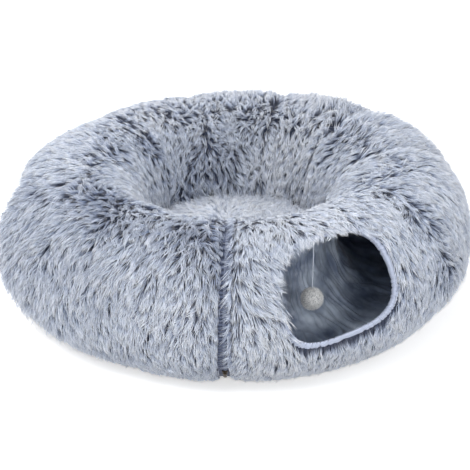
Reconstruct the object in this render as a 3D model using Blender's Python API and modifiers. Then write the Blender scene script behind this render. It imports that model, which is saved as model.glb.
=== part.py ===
"""Plush ring tunnel for a cat, with a loose cushion in the middle of the ring.

A spring-wire coil in a polyester lining carries nine panels of long-pile plush. The tube is bent
into a ring and its two ends are zipped together. Two bound entrances open into it, and a pompom
hangs from the top of the front one.

Frame: metres, +Z up, origin on the floor in the middle of the ring. The front entrance faces -Y.
A ring angle is measured round +Z from +X. A section angle is measured in a cut through the tube,
from 0 at the outer side over 90 at the top to 180 at the side that faces the cushion.
"""

import math

import bmesh
import bpy
from mathutils import Matrix, Vector

UP = Vector((0, 0, 1))
GAP = 0.0003  # left between pieces that touch

# Ring and spring coil
RING_RADIUS = 0.310  # of the tube's centre line
PLUSH_RADIUS = 0.140  # of the pile's outer surface, where a panel is fullest
FLOOR_PRESS = 0.008  # how far the tube's weight presses the pile on the floor
PILE_DEPTH = 0.015  # from the wire's centre line out to the pile's surface
WIRE_DIAMETER = 0.0025
END_TURN_START = 0.0065  # from the zip's plane to the wire's end
END_TURN_RISE = 0.0045  # along the tube, over the closed end turn
SLEEVE_WALL = 0.0006
SLEEVE_LENGTH = 0.012
WIRE_END_SHARE = 0.45  # of its last segment, by which each end of the wire stops short
PANELS_BETWEEN_ENTRANCES = 5
PANELS_AFTER_SIDE_ENTRANCE = 2

# Facets: the layers share them, so that the room between the layers stays even
SECTION_SIDES = 18
FIRST_SIDE_ANGLE = math.radians(10)
STATION_STEP = math.radians(9)

# Lining and plush
LINING_THICKNESS = 0.0015
BACKING_THICKNESS = 0.0015
CREASE_FULLNESS_SHARE = 0.07
CREASE_SHARPNESS = 4
BELLY_SHARE = 0.12  # how far the inner side sags, as a share of the plush radius
BELLY_ANGLE = math.radians(208)
BELLY_SPREAD = math.radians(25)
PRESSED_PILE = 0.0015  # pile this close to the floor lies flat on it
SWELLS = (
    # where the soft ring bulges: ring and section angle, spreads along the ring and round the
    # tube, all in degrees, and the height as a share of the plush radius
    (182, 8, 17, 34, 0.12),
    (5, 64, 26, 32, 0.11),
    (50, 80, 22, 34, 0.06),
)

# Entrances
FRONT_ENTRANCE_ANGLE = math.radians(-90)
FRONT_ENTRANCE_TILT = math.radians(33)  # above the horizontal
FRONT_ENTRANCE_ROLL = math.radians(8.5)  # how far the soft tube has turned its right side up
SIDE_ENTRANCE_ANGLE = math.radians(157)
SIDE_ENTRANCE_TILT = math.radians(12)
SIDE_ENTRANCE_ROLL = 0
ENTRANCE_HALF_WIDTH = 0.108
ENTRANCE_HALF_HEIGHT = 0.0855
ENTRANCE_SQUARENESS = 3.2  # exponent of the outline: 2 is an ellipse
OUTLINE_POINTS = 24
COIL_TO_ENTRANCE = 0.169  # beside an entrance the wire keeps this far from it
BINDING_THICKNESS = 0.005
BINDING_WIDTH = 0.012
BINDING_EASE = 0.0004
BINDING_SECTION_SHARES = ((0, 0.1), (0, 0.9), (0.45, 1), (1, 0.82), (1, 0.18), (0.45, 0))

# Zip
ZIP_ANGLE = math.radians(-116)
CLOTH_END = 0.0035  # from the zip's plane to the ends of lining and plush
FLANGE_WIDTH = 0.014  # of bare backing beside the zip's plane
SHOULDER_SHARE = 1.4  # of the flange width, where the pile starts again
TAPE_THICKNESS = 0.0008
TAPE_EDGE = 0.0023
TAPE_WIDTH = 0.0097
TAPE_STEP = math.radians(10)
TAPE_SPAN = (math.radians(-50), math.radians(240))
CHAIN_THICKNESS = 0.002
CHAIN_HALF_WIDTH = 0.002
CHAIN_SPAN = (math.radians(-40), math.radians(220))
TOOTH_STEP = math.radians(5)
TOOTH_REACH = 0.0007
STOP_ANGLE = math.radians(-43)
STOP_INNER_EDGE = 0.0003
STOP_LENGTH = 0.003
RETAINER_ANGLE = math.radians(226)
RETAINER_LENGTH = 0.007
RETAINER_THICKNESS = 0.0042
PIN_WIDTH = 0.001
PIN_THICKNESS = 0.0012
PIN_PLACE = 0.001  # from the zip's plane to the pin's middle
PIN_LENGTH = 0.0135
PIN_SEAT = 0.0055

# Slider and pull tab
SLIDER_ANGLE = math.radians(-35)
SLIDER_LENGTH = 0.012
SLIDER_WIDTH = 0.0094
SLIDER_NOSE_SHARE = 0.62
PLATE_THICKNESS = 0.0016
LIP_THICKNESS = 0.0008
BAIL_WIDTH = 0.002
BAIL_LENGTH = 0.0064
BAIL_BAR = 0.0016
BAIL_EYE_HEIGHT = 0.003
BAIL_TOP = 0.0012
HINGE_HEIGHT = 0.0016
TAB_LENGTH = 0.016
TAB_WIDTH = 0.006
TAB_THICKNESS = 0.0012
TAB_BAR = 0.0014
TAB_EYE_LENGTH = 0.0045
TAB_EYE_WIDTH = 0.003

# Hanging toy
TOY_OFFSET = -0.001  # along the entrance's width
KNOT_RADIUS = 0.0025
CORD_DIAMETER = 0.0015
CORD_POINT_STEP = 0.004
POMPOM_RADIUS = 0.020
TOY_DROP = 0.106  # from the knot's middle to the pompom's

# Cushion
CUSHION_EASE = 0.0003
CUSHION_BASE_THICKNESS = 0.002
CUSHION_TUCK = 0.0115  # from the widest rim in to the edge of the base
CUSHION_CROWN_RISE = 0.017  # above the cushion's widest rim
CUSHION_SIDES = 48

OVERRUN = 0.02  # of a cutter past what it cuts

TUBE_HEIGHT = PLUSH_RADIUS - FLOOR_PRESS  # of the centre line above the floor
COIL_RADIUS = PLUSH_RADIUS - PILE_DEPTH  # of the wire's centre line, in a cut through the tube
WIRE_RADIUS = WIRE_DIAMETER / 2
SLEEVE_HALF = WIRE_RADIUS + GAP + SLEEVE_WALL
FACET_SAG = (RING_RADIUS + COIL_RADIUS) * (1 - math.cos(STATION_STEP / 2))
LINING_OUTER = COIL_RADIUS - SLEEVE_HALF - GAP
LINING_INNER = LINING_OUTER - LINING_THICKNESS
COVER_INNER = COIL_RADIUS + SLEEVE_HALF + GAP + FACET_SAG
FLANGE_OUTER = COVER_INNER + BACKING_THICKNESS
TAPE_INNER = FLANGE_OUTER + GAP
TAPE_OUTER = TAPE_INNER + TAPE_THICKNESS
CHAIN_MIDDLE = (TAPE_INNER + TAPE_OUTER) / 2
CHAIN_OUTER = CHAIN_MIDDLE + CHAIN_THICKNESS / 2
PLATE_UNDERSIDE = CHAIN_OUTER + GAP
PLATE_TOP = PLATE_UNDERSIDE + PLATE_THICKNESS
HINGE_RADIUS = PLATE_TOP + HINGE_HEIGHT


def clear_scene():
    """Remove every object of the open file."""
    for old in list(bpy.data.objects):
        bpy.data.objects.remove(old)


def new_collection(name):
    collection = bpy.data.collections.new(name)
    bpy.context.scene.collection.children.link(collection)
    return collection


def principled(name, colour, roughness, metallic=0.0):
    """One plain material."""
    material = bpy.data.materials.new(name)
    material.use_nodes = True
    shader = material.node_tree.nodes["Principled BSDF"]
    shader.inputs["Base Color"].default_value = (*colour, 1)
    shader.inputs["Roughness"].default_value = roughness
    shader.inputs["Metallic"].default_value = metallic
    material.diffuse_color = (*colour, 1)
    return material


def add_object(name, bm, material, collection, smooth=False):
    """Close a bmesh into a named object with its faces pointing out."""
    bmesh.ops.recalc_face_normals(bm, faces=bm.faces)
    mesh = bpy.data.meshes.new(name)
    bm.to_mesh(mesh)
    bm.free()
    if smooth:
        mesh.shade_smooth()
        mesh.set_sharp_from_angle(angle=math.radians(35))
    mesh.materials.append(material)
    thing = bpy.data.objects.new(name, mesh)
    collection.objects.link(thing)
    return thing


def loft(loops, closed):
    """Skin loops of equal length; an open loft is capped at both ends."""
    bm = bmesh.new()
    rings = [[bm.verts.new(point) for point in loop] for loop in loops]
    count = len(rings[0])
    pairs = list(zip(rings, rings[1:]))
    if closed:
        pairs.append((rings[-1], rings[0]))
    for low, high in pairs:
        for i in range(count):
            j = (i + 1) % count
            bm.faces.new((low[i], low[j], high[j], high[i]))
    if not closed:
        bm.faces.new(rings[0])
        bm.faces.new(rings[-1])
    return bm


def loft_shell(outer_loops, inner_loops):
    """Skin a tube wall between outer and inner loops, with a flat rim at each end."""
    bm = bmesh.new()
    outer = [[bm.verts.new(point) for point in loop] for loop in outer_loops]
    inner = [[bm.verts.new(point) for point in loop] for loop in inner_loops]
    count = len(outer[0])
    for skin in (outer, inner):
        for low, high in zip(skin, skin[1:]):
            for i in range(count):
                j = (i + 1) % count
                bm.faces.new((low[i], low[j], high[j], high[i]))
    for end in (0, -1):
        for i in range(count):
            j = (i + 1) % count
            bm.faces.new((outer[end][i], outer[end][j], inner[end][j], inner[end][i]))
    return bm


def box(low, high):
    """A box between two corners."""
    bm = bmesh.new()
    size = Vector(high) - Vector(low)
    middle = (Vector(high) + Vector(low)) / 2
    bmesh.ops.create_cube(bm, size=1, matrix=Matrix.Translation(middle) @ Matrix.Diagonal((*size, 1)))
    return bm


def prism(outline, low, high):
    """A flat outline in X and Y, pulled up from one height to another."""
    return loft([[Vector((x, y, z)) for x, y in outline] for z in (low, high)], closed=False)


def cut(thing, cutter):
    modifier = thing.modifiers.new(f"cut by {cutter.name}", "BOOLEAN")
    modifier.operation = "DIFFERENCE"
    modifier.object = cutter


def join(thing, other):
    modifier = thing.modifiers.new(f"join {other.name}", "BOOLEAN")
    modifier.operation = "UNION"
    modifier.object = other


def make_guide(thing):
    """Keep a cutter or a joined shape out of the model."""
    thing.hide_render = True
    thing.display_type = "WIRE"
    return thing


def ring_frame(angle):
    """Middle of the tube and its outward direction at a ring angle."""
    outward = Vector((math.cos(angle), math.sin(angle), 0))
    return outward * RING_RADIUS + UP * TUBE_HEIGHT, outward


def zip_frame(offset):
    """Middle of a cut parallel to the zip's plane, offset metres to the right of it."""
    middle, outward = ring_frame(ZIP_ANGLE)
    return middle + UP.cross(outward) * offset, outward


def section_point(frame, radius, angle):
    middle, outward = frame
    return middle + radius * (math.cos(angle) * outward + math.sin(angle) * UP)


def zip_placement(angle):
    """Matrix of a zip piece: X along the tube, Y round it, Z away from the tube's middle."""
    middle, outward = zip_frame(0)
    along = UP.cross(outward)
    away = math.cos(angle) * outward + math.sin(angle) * UP
    turn = Matrix((along, away.cross(along), away)).transposed().to_4x4()
    return Matrix.Translation(middle) @ turn


def section_angles():
    step = math.tau / SECTION_SIDES
    return [FIRST_SIDE_ANGLE + step * i for i in range(SECTION_SIDES)]


def entrance_half_angle():
    """Ring angle from an entrance's middle to the spring turns on both its sides."""
    return math.asin((ENTRANCE_HALF_WIDTH + COIL_TO_ENTRANCE) / (RING_RADIUS + COIL_RADIUS))


def panel_edges():
    """Ring angles of the seams between plush panels; the first and the last are the zip's plane."""
    half = entrance_half_angle()
    first = FRONT_ENTRANCE_ANGLE + half
    before = SIDE_ENTRANCE_ANGLE - half
    after = SIDE_ENTRANCE_ANGLE + half
    end = ZIP_ANGLE + math.tau
    seams = [ZIP_ANGLE]
    for i in range(PANELS_BETWEEN_ENTRANCES + 1):
        seams.append(first + (before - first) * i / PANELS_BETWEEN_ENTRANCES)
    for i in range(PANELS_AFTER_SIDE_ENTRANCE + 1):
        seams.append(after + (end - after) * i / PANELS_AFTER_SIDE_ENTRANCE)
    return seams


def coil_knots():
    """Turns made and ring angle reached, where the open wire starts, passes each seam and ends.

    It starts and ends at the top of the tube, and passes the seams at the front entrance's height,
    so that a whole turn goes round each entrance.
    """
    end = math.atan((END_TURN_START + END_TURN_RISE) / RING_RADIUS)
    share = 1 - (math.pi / 2 - FRONT_ENTRANCE_TILT) / math.tau
    seams = panel_edges()
    inner = seams[1:-1]
    knots = [(0, seams[0] + end)] + [(share + i, angle) for i, angle in enumerate(inner)]
    return knots + [(len(inner) + 1, seams[-1] - end)]


def coil_ring_angle(turns):
    """Ring angle that the open wire has reached after some turns."""
    knots = coil_knots()
    for (low, start), (high, stop) in zip(knots, knots[1:]):
        if turns <= high:
            return start + (stop - start) * (turns - low) / (high - low)
    return knots[-1][1]


def shoulder_angle():
    """Ring angle from the zip's plane to where the pile is full, on the narrow side of the ring."""
    narrow = RING_RADIUS - PLUSH_RADIUS * (1 + BELLY_SHARE)
    return math.asin(SHOULDER_SHARE * FLANGE_WIDTH / narrow)


def swell(ring_angle, angle):
    """How much the cover bulges at a ring and a section angle, as a share of the plush radius."""
    total = 0
    for ring_middle, middle, along, around, height in SWELLS:
        aside = math.remainder(ring_angle - math.radians(ring_middle), math.tau) / math.radians(along)
        above = math.remainder(angle - math.radians(middle), math.tau) / math.radians(around)
        total += height * math.exp(-(aside * aside + above * above) / 2)
    return total


def plush_radius(fullness, angle, bulge=0):
    """Outer radius of the cover: bare backing at fullness 0, and the sagging pile at 1."""
    lean = (angle % math.tau - BELLY_ANGLE) / BELLY_SPREAD
    full = PLUSH_RADIUS * (1 + BELLY_SHARE * math.exp(-lean * lean) + bulge)
    return FLANGE_OUTER + fullness * (full - FLANGE_OUTER)


def panel_stations(index):
    """Cuts through one panel, as pairs of a frame and the pile's fullness there."""
    edges = panel_edges()
    low, high = edges[index], edges[index + 1]
    seam = GAP / 2 / (RING_RADIUS - PLUSH_RADIUS)
    first = low + (shoulder_angle() if index == 0 else seam)
    last = high - (shoulder_angle() if index == len(edges) - 2 else seam)
    steps = max(3, round((last - first) / STATION_STEP))
    stations = []
    for i in range(steps + 1):
        angle = first + (last - first) * i / steps
        share = (angle - low) / (high - low)
        fullness = max(CREASE_FULLNESS_SHARE, 1 - abs(2 * share - 1) ** CREASE_SHARPNESS)
        stations.append((ring_frame(angle), fullness))
    bare = [(zip_frame(side * reach), 0) for side in (1, -1) for reach in (CLOTH_END, FLANGE_WIDTH)]
    if index == 0:
        stations = bare[:2] + stations
    if index == len(edges) - 2:
        stations = stations + [bare[3], bare[2]]
    return stations


def plush_loop(frame, fullness):
    """One outer loop of the cover, pressed flat where it meets the floor."""
    outward = frame[1]
    ring_angle = math.atan2(outward.y, outward.x)
    loop = []
    for angle in section_angles():
        radius = plush_radius(fullness, angle, swell(ring_angle, angle))
        point = section_point(frame, radius, angle)
        if fullness and point.z < PRESSED_PILE:
            point.z = 0
        loop.append(point)
    return loop


def round_loop(frame, radius):
    return [section_point(frame, radius, angle) for angle in section_angles()]


def make_panel(index, material, collection):
    """One gore of plush between two turns of the spring."""
    stations = panel_stations(index)
    outer = [plush_loop(frame, fullness) for frame, fullness in stations]
    inner = [round_loop(frame, COVER_INNER) for frame, fullness in stations]
    return add_object(f"cover_panel_{index + 1}", loft_shell(outer, inner), material, collection, True)


def make_lining(material, collection):
    """The polyester tube inside the spring, from one end of the zip to the other."""
    frames = [zip_frame(CLOTH_END), zip_frame(FLANGE_WIDTH)]
    for index in range(len(panel_edges()) - 1):
        stations = panel_stations(index)
        frames += [frame for frame, fullness in stations if fullness][: -1]
    frames += [ring_frame(ZIP_ANGLE + math.tau - shoulder_angle())]
    frames += [zip_frame(-FLANGE_WIDTH), zip_frame(-CLOTH_END)]
    outer = [round_loop(frame, LINING_OUTER) for frame in frames]
    inner = [round_loop(frame, LINING_INNER) for frame in frames]
    return add_object("lining", loft_shell(outer, inner), material, collection, True)


def end_turn_points(side):
    """The closed turn beside the zip: side is 1 on its right and -1 on its left."""
    step = math.tau / SECTION_SIDES
    count = SECTION_SIDES + 1
    points = []
    for i in range(count + 1):
        offset = END_TURN_START + END_TURN_RISE * i / count
        angle = math.pi / 2 - side * step * (count - i)
        points.append(section_point(zip_frame(side * offset), COIL_RADIUS, angle))
    return points


def coil_points():
    """The whole wire: a closed turn, the open turns and the other closed turn."""
    points = end_turn_points(1)
    for i in range(1, coil_knots()[-1][0] * SECTION_SIDES):
        turns = i / SECTION_SIDES
        frame = ring_frame(coil_ring_angle(turns))
        points.append(section_point(frame, COIL_RADIUS, math.pi / 2 + math.tau * turns))
    return points + end_turn_points(-1)[::-1]


def least_gap(points, diameter, apart):
    """Least distance between the surfaces of wire stretches that are apart points from each other."""
    middles = [(a + b) / 2 for a, b in zip(points, points[1:])]
    spots = [spot for pair in zip(points, middles) for spot in pair]
    return min(
        (spots[i] - spots[j]).length
        for i in range(len(spots))
        for j in range(i + 2 * apart, min(len(spots), i + 6 * apart))
    ) - diameter


def make_wire(name, points, diameter, resolution, material, collection):
    """A round wire or cord along points, closed at both ends."""
    curve = bpy.data.curves.new(name, "CURVE")
    curve.dimensions = "3D"
    curve.bevel_depth = diameter / 2
    curve.bevel_resolution = resolution
    curve.use_fill_caps = True
    spline = curve.splines.new("POLY")
    spline.points.add(len(points) - 1)
    for spot, point in zip(spline.points, points):
        spot.co = (*point, 1)
    curve.materials.append(material)
    thing = bpy.data.objects.new(name, curve)
    collection.objects.link(thing)
    return thing


def trimmed_coil():
    """The wire's points with both ends drawn back to the middle of the crimp sleeves."""
    points = coil_points()
    points[0] = points[0].lerp(points[1], WIRE_END_SHARE)
    points[-1] = points[-1].lerp(points[-2], WIRE_END_SHARE)
    return points


def stadium(spacing, radius, arc_points=5):
    """Outline round two centres that lie spacing apart on X."""
    outline = []
    for side in (1, -1):
        for i in range(arc_points):
            angle = -side * math.pi / 2 + math.pi * i / (arc_points - 1)
            if side < 0:
                angle = math.pi / 2 + math.pi * i / (arc_points - 1)
            outline.append((side * spacing / 2 + radius * math.cos(angle), radius * math.sin(angle)))
    return outline


def make_sleeve(name, side, material, collection, guides):
    """The crimp that ties the wire's end to its next turn."""
    turn = end_turn_points(side)
    near = (turn[0] + turn[1]) / 2
    far = (turn[-2] + turn[-1]) / 2
    along = (turn[1] - turn[0]).normalized()
    across = (far - near).normalized()
    normal = along.cross(across).normalized()
    across = normal.cross(along)
    turn_matrix = Matrix((across, normal, across.cross(normal))).transposed().to_4x4()
    placement = Matrix.Translation((near + far) / 2) @ turn_matrix
    spacing = (far - near).length
    half = SLEEVE_LENGTH / 2
    sleeve = add_object(name, prism(stadium(spacing, SLEEVE_HALF), -half, half), material, collection)
    bore_shape = prism(stadium(spacing, WIRE_RADIUS + GAP), -half - OVERRUN, half + OVERRUN)
    bore = make_guide(add_object(f"{name}_bore", bore_shape, material, guides))
    sleeve.matrix_world = placement
    bore.matrix_world = placement
    cut(sleeve, bore)
    return sleeve


def entrance_axes(angle, tilt, roll):
    """Middle of the tube at an entrance, and its width, height and outward directions."""
    middle, outward = ring_frame(angle)
    away = math.cos(tilt) * outward + math.sin(tilt) * UP
    level = UP.cross(outward)
    steep = away.cross(level)
    across = math.cos(roll) * level + math.sin(roll) * steep
    return middle, across, away.cross(across), away


def entrance_outline(inset):
    """Points of the entrance's rounded outline, drawn in by inset."""
    outline = []
    power = 2 / ENTRANCE_SQUARENESS
    for i in range(OUTLINE_POINTS):
        turn = math.tau * i / OUTLINE_POINTS
        c, s = math.cos(turn), math.sin(turn)
        x = (ENTRANCE_HALF_WIDTH - inset) * math.copysign(abs(c) ** power, c)
        y = (ENTRANCE_HALF_HEIGHT - inset) * math.copysign(abs(s) ** power, s)
        outline.append((x, y))
    return outline


def pierce(axes, x, y, radius):
    """Where a line parallel to the entrance's axis leaves the tube of this radius."""
    middle, across, upward, away = axes
    low, high = 0.0, 2 * radius
    for _ in range(40):
        reach = (low + high) / 2
        point = middle + across * x + upward * y + away * reach
        inside = math.hypot(math.hypot(point.x, point.y) - RING_RADIUS, point.z - TUBE_HEIGHT) < radius
        low, high = (reach, high) if inside else (low, reach)
    return middle + across * x + upward * y + away * low


def make_entrance_cutter(name, entrance, material, guides):
    middle, across, upward, away = entrance_axes(*entrance)
    depth = PLUSH_RADIUS * (1 + max(height for *_, height in SWELLS)) + OVERRUN
    cutter = add_object(name, prism(entrance_outline(0), COIL_RADIUS / 2, depth), material, guides)
    turn = Matrix((across, upward, away)).transposed().to_4x4()
    cutter.matrix_world = Matrix.Translation(middle) @ turn
    return make_guide(cutter)


def binding_radii():
    """Inner and outer tube radius between which an entrance's binding lies."""
    low = LINING_INNER - GAP
    return low, low + BINDING_WIDTH


def make_binding(name, entrance, material, collection):
    """The tape that wraps the raw edges of lining and plush round an entrance."""
    axes = entrance_axes(*entrance)
    low, high = binding_radii()
    loops = []
    for i in range(OUTLINE_POINTS):
        loop = []
        for inset_share, width_share in BINDING_SECTION_SHARES:
            x, y = entrance_outline(BINDING_EASE + inset_share * BINDING_THICKNESS)[i]
            loop.append(pierce(axes, x, y, low + width_share * (high - low)))
        loops.append(loop)
    return add_object(name, loft(loops, closed=True), material, collection, True)


def zip_band(side, span, step, near_edges, far_edge, low, high):
    """A band round the tube beside the zip's plane; its near edge takes the given places in turn."""
    steps = round((span[1] - span[0]) / step)
    loops = []
    for i in range(steps + 1):
        angle = span[0] + (span[1] - span[0]) * i / steps
        near = near_edges[i % len(near_edges)]
        corners = ((near, low), (near, high), (far_edge, high), (far_edge, low))
        loops.append([section_point(zip_frame(side * w), r, angle) for w, r in corners])
    return loft(loops, closed=False)


def make_tape(name, side, material, collection):
    far = TAPE_EDGE + TAPE_WIDTH
    band = zip_band(side, TAPE_SPAN, TAPE_STEP, (TAPE_EDGE,), far, TAPE_INNER, TAPE_OUTER)
    return add_object(name, band, material, collection)


def make_teeth(name, side, material, collection):
    """Half of the closed chain: its teeth reach across the zip's plane between the other half's."""
    reach = TOOTH_REACH if side > 0 else -TOOTH_REACH
    edges = (GAP / 2 - reach, GAP / 2 + reach)
    low, high = CHAIN_OUTER - CHAIN_THICKNESS, CHAIN_OUTER
    band = zip_band(side, CHAIN_SPAN, TOOTH_STEP, edges, CHAIN_HALF_WIDTH, low, high)
    return add_object(name, band, material, collection)


def make_stop(name, side, material, collection):
    """The metal clip past the last tooth on one side."""
    low, high = CHAIN_OUTER - CHAIN_THICKNESS, CHAIN_OUTER
    edges = sorted((side * STOP_INNER_EDGE, side * CHAIN_HALF_WIDTH))
    half = STOP_LENGTH / 2
    stop = add_object(name, box((edges[0], -half, low), (edges[1], half, high)), material, collection)
    stop.matrix_world = zip_placement(STOP_ANGLE)
    return stop


def make_retainer(material, collection, guides):
    """The box at the chain's other end, with the slot that the insertion pin enters."""
    half_length = RETAINER_LENGTH / 2
    half_thickness = RETAINER_THICKNESS / 2
    low = (-CHAIN_HALF_WIDTH, -half_length, CHAIN_MIDDLE - half_thickness)
    high = (CHAIN_HALF_WIDTH, half_length, CHAIN_MIDDLE + half_thickness)
    retainer = add_object("zip_retainer_box", box(low, high), material, collection)
    slot_half_width = PIN_WIDTH / 2 + GAP
    slot_half_height = PIN_THICKNESS / 2 + GAP
    slot_low = (PIN_PLACE - slot_half_width, -half_length - OVERRUN, CHAIN_MIDDLE - slot_half_height)
    slot_end = -half_length + PIN_SEAT + GAP
    slot_high = (PIN_PLACE + slot_half_width, slot_end, CHAIN_MIDDLE + slot_half_height)
    slot = make_guide(add_object("retainer_slot", box(slot_low, slot_high), material, guides))
    for thing in (retainer, slot):
        thing.matrix_world = zip_placement(RETAINER_ANGLE)
    cut(retainer, slot)
    return retainer


def make_pin(material, collection):
    """The pin at the start of the right tape, seated in the retainer box."""
    tip = -RETAINER_LENGTH / 2 + PIN_SEAT
    low = (PIN_PLACE - PIN_WIDTH / 2, tip - PIN_LENGTH, CHAIN_MIDDLE - PIN_THICKNESS / 2)
    high = (PIN_PLACE + PIN_WIDTH / 2, tip, CHAIN_MIDDLE + PIN_THICKNESS / 2)
    pin = add_object("zip_insertion_pin", box(low, high), material, collection)
    pin.matrix_world = zip_placement(RETAINER_ANGLE)
    return pin


def slider_outline(half_width):
    """A shield: full width behind and a narrower nose ahead."""
    half = SLIDER_LENGTH / 2
    nose = half_width * SLIDER_NOSE_SHARE
    return [(-half_width, half), (-half_width, 0), (-nose, -half), (nose, -half), (half_width, 0),
            (half_width, half)]


def make_slider(material, collection, guides):
    """The slider: a shield-shaped plate with a lip down each side and a bail for the pull tab."""
    half_width = SLIDER_WIDTH / 2
    slider = add_object("zip_slider", prism(slider_outline(half_width), TAPE_OUTER + GAP, PLATE_TOP),
                        material, collection)
    room = half_width - LIP_THICKNESS
    channel_shape = box((-room, -OVERRUN, 0), (room, OVERRUN, PLATE_UNDERSIDE))
    channel = make_guide(add_object("slider_channel", channel_shape, material, guides))
    half_bail = BAIL_LENGTH / 2
    bail_high = PLATE_TOP + BAIL_EYE_HEIGHT + BAIL_TOP
    bail_root = PLATE_TOP - PLATE_THICKNESS / 2
    bail_shape = box((-BAIL_WIDTH / 2, -half_bail, bail_root), (BAIL_WIDTH / 2, half_bail, bail_high))
    bail = make_guide(add_object("slider_bail", bail_shape, material, guides))
    half_eye = half_bail - BAIL_BAR
    eye_shape = box((-OVERRUN, -half_eye, PLATE_TOP), (OVERRUN, half_eye, PLATE_TOP + BAIL_EYE_HEIGHT))
    eye = make_guide(add_object("slider_eye", eye_shape, material, guides))
    for thing in (slider, channel, bail, eye):
        thing.matrix_world = zip_placement(SLIDER_ANGLE)
    cut(slider, channel)
    join(slider, bail)
    cut(slider, eye)
    return slider


def make_pull_tab(material, collection, guides):
    """The flat tab, hung by the bar at its root in the slider's bail; at rest it lies downwards."""
    half_width = TAB_WIDTH / 2
    half_thickness = TAB_THICKNESS / 2
    half_bar = TAB_BAR / 2
    tip = half_width / 2
    outline = [(-half_width, half_bar), (-half_width, tip - TAB_LENGTH), (-tip, -TAB_LENGTH),
               (tip, -TAB_LENGTH), (half_width, tip - TAB_LENGTH), (half_width, half_bar)]
    tab = add_object("zip_pull_tab", prism(outline, -half_thickness, half_thickness), material, collection)
    half_eye = TAB_EYE_WIDTH / 2
    low = (-half_eye, -half_bar - TAB_EYE_LENGTH, -OVERRUN)
    eye = make_guide(add_object("tab_eye", box(low, (half_eye, -half_bar, OVERRUN)), material, guides))
    for thing in (tab, eye):
        thing.matrix_world = zip_placement(SLIDER_ANGLE) @ Matrix.Translation((0, 0, HINGE_RADIUS))
    cut(tab, eye)
    return tab


def toy_pivot():
    """Middle of the knot under the front entrance's upper binding."""
    axes = entrance_axes(FRONT_ENTRANCE_ANGLE, FRONT_ENTRANCE_TILT, FRONT_ENTRANCE_ROLL)
    upper = sorted(spot for spot in entrance_outline(BINDING_EASE + BINDING_THICKNESS) if spot[1] > 0)
    left = max(spot for spot in upper if spot[0] <= TOY_OFFSET)
    right = min(spot for spot in upper if spot[0] > TOY_OFFSET)
    face = left[1] + (right[1] - left[1]) * (TOY_OFFSET - left[0]) / (right[0] - left[0])
    point = pierce(axes, TOY_OFFSET, face, sum(binding_radii()) / 2)
    return point - axes[2] * (KNOT_RADIUS + GAP)


def make_ball(name, centre, radius, segments, material, collection):
    bm = bmesh.new()
    bmesh.ops.create_uvsphere(bm, u_segments=segments, v_segments=segments // 2 + 1, radius=radius)
    ball = add_object(name, bm, material, collection, True)
    ball.location = centre
    return ball


def make_toy_cord(pivot, material, collection):
    """The straight hanging cord between knot and pompom."""
    top = pivot - UP * (KNOT_RADIUS + GAP)
    bottom = pivot - UP * (TOY_DROP - POMPOM_RADIUS - GAP)
    steps = round((top - bottom).length / CORD_POINT_STEP)
    points = [top.lerp(bottom, i / steps) for i in range(steps + 1)]
    return make_wire("toy_cord", points, CORD_DIAMETER, 2, material, collection)


def narrowest_lobe():
    """Ring radius and height at which the lobes leave the cushion the least room."""
    reach, angle = max((-math.cos(angle) * plush_radius(1, angle), angle) for angle in section_angles())
    return RING_RADIUS - reach, TUBE_HEIGHT + math.sin(angle) * plush_radius(1, angle)


def turned(name, profile, material, collection):
    """A solid turned about Z from a profile of radius and height, listed from the top down."""
    bm = bmesh.new()
    spots = [bm.verts.new((radius, 0, height)) for radius, height in profile]
    for a, b in zip(spots, spots[1:]):
        bm.edges.new((a, b))
    mesh = bpy.data.meshes.new(name)
    bm.to_mesh(mesh)
    bm.free()
    mesh.materials.append(material)
    thing = bpy.data.objects.new(name, mesh)
    collection.objects.link(thing)
    screw = thing.modifiers.new("turn", "SCREW")
    screw.steps = CUSHION_SIDES
    screw.render_steps = CUSHION_SIDES
    screw.use_merge_vertices = True
    screw.merge_threshold = GAP / 10
    return thing


def make_cushion(plush, base_cloth, collection):
    """The round cushion: a crowned plush pad with drawn-in sides on a grippy base cloth."""
    neck, edge_height = narrowest_lobe()
    rim = neck * math.cos(STATION_STEP / 2) - CUSHION_EASE
    foot = CUSHION_BASE_THICKNESS + GAP
    edge = edge_height - foot
    base_radius = rim - CUSHION_TUCK
    side_shares = ((1, 0.16), (1, 0), (0.85, -0.22), (0.55, -0.55), (0.2, -0.88), (0, -1))
    crown_shares = ((0, 1), (0.3, 0.965), (0.58, 0.85), (0.8, 0.62), (0.93, 0.34))
    profile = [(rim * across, edge_height + CUSHION_CROWN_RISE * up) for across, up in crown_shares]
    profile += [(base_radius + CUSHION_TUCK * out, edge_height + edge * up) for out, up in side_shares]
    profile.append((0, foot))
    turned("cushion_top", profile, plush, collection)
    base = [(0, CUSHION_BASE_THICKNESS), (base_radius, CUSHION_BASE_THICKNESS),
            (base_radius, 0), (0, 0)]
    turned("cushion_base", base, base_cloth, collection)


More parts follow.
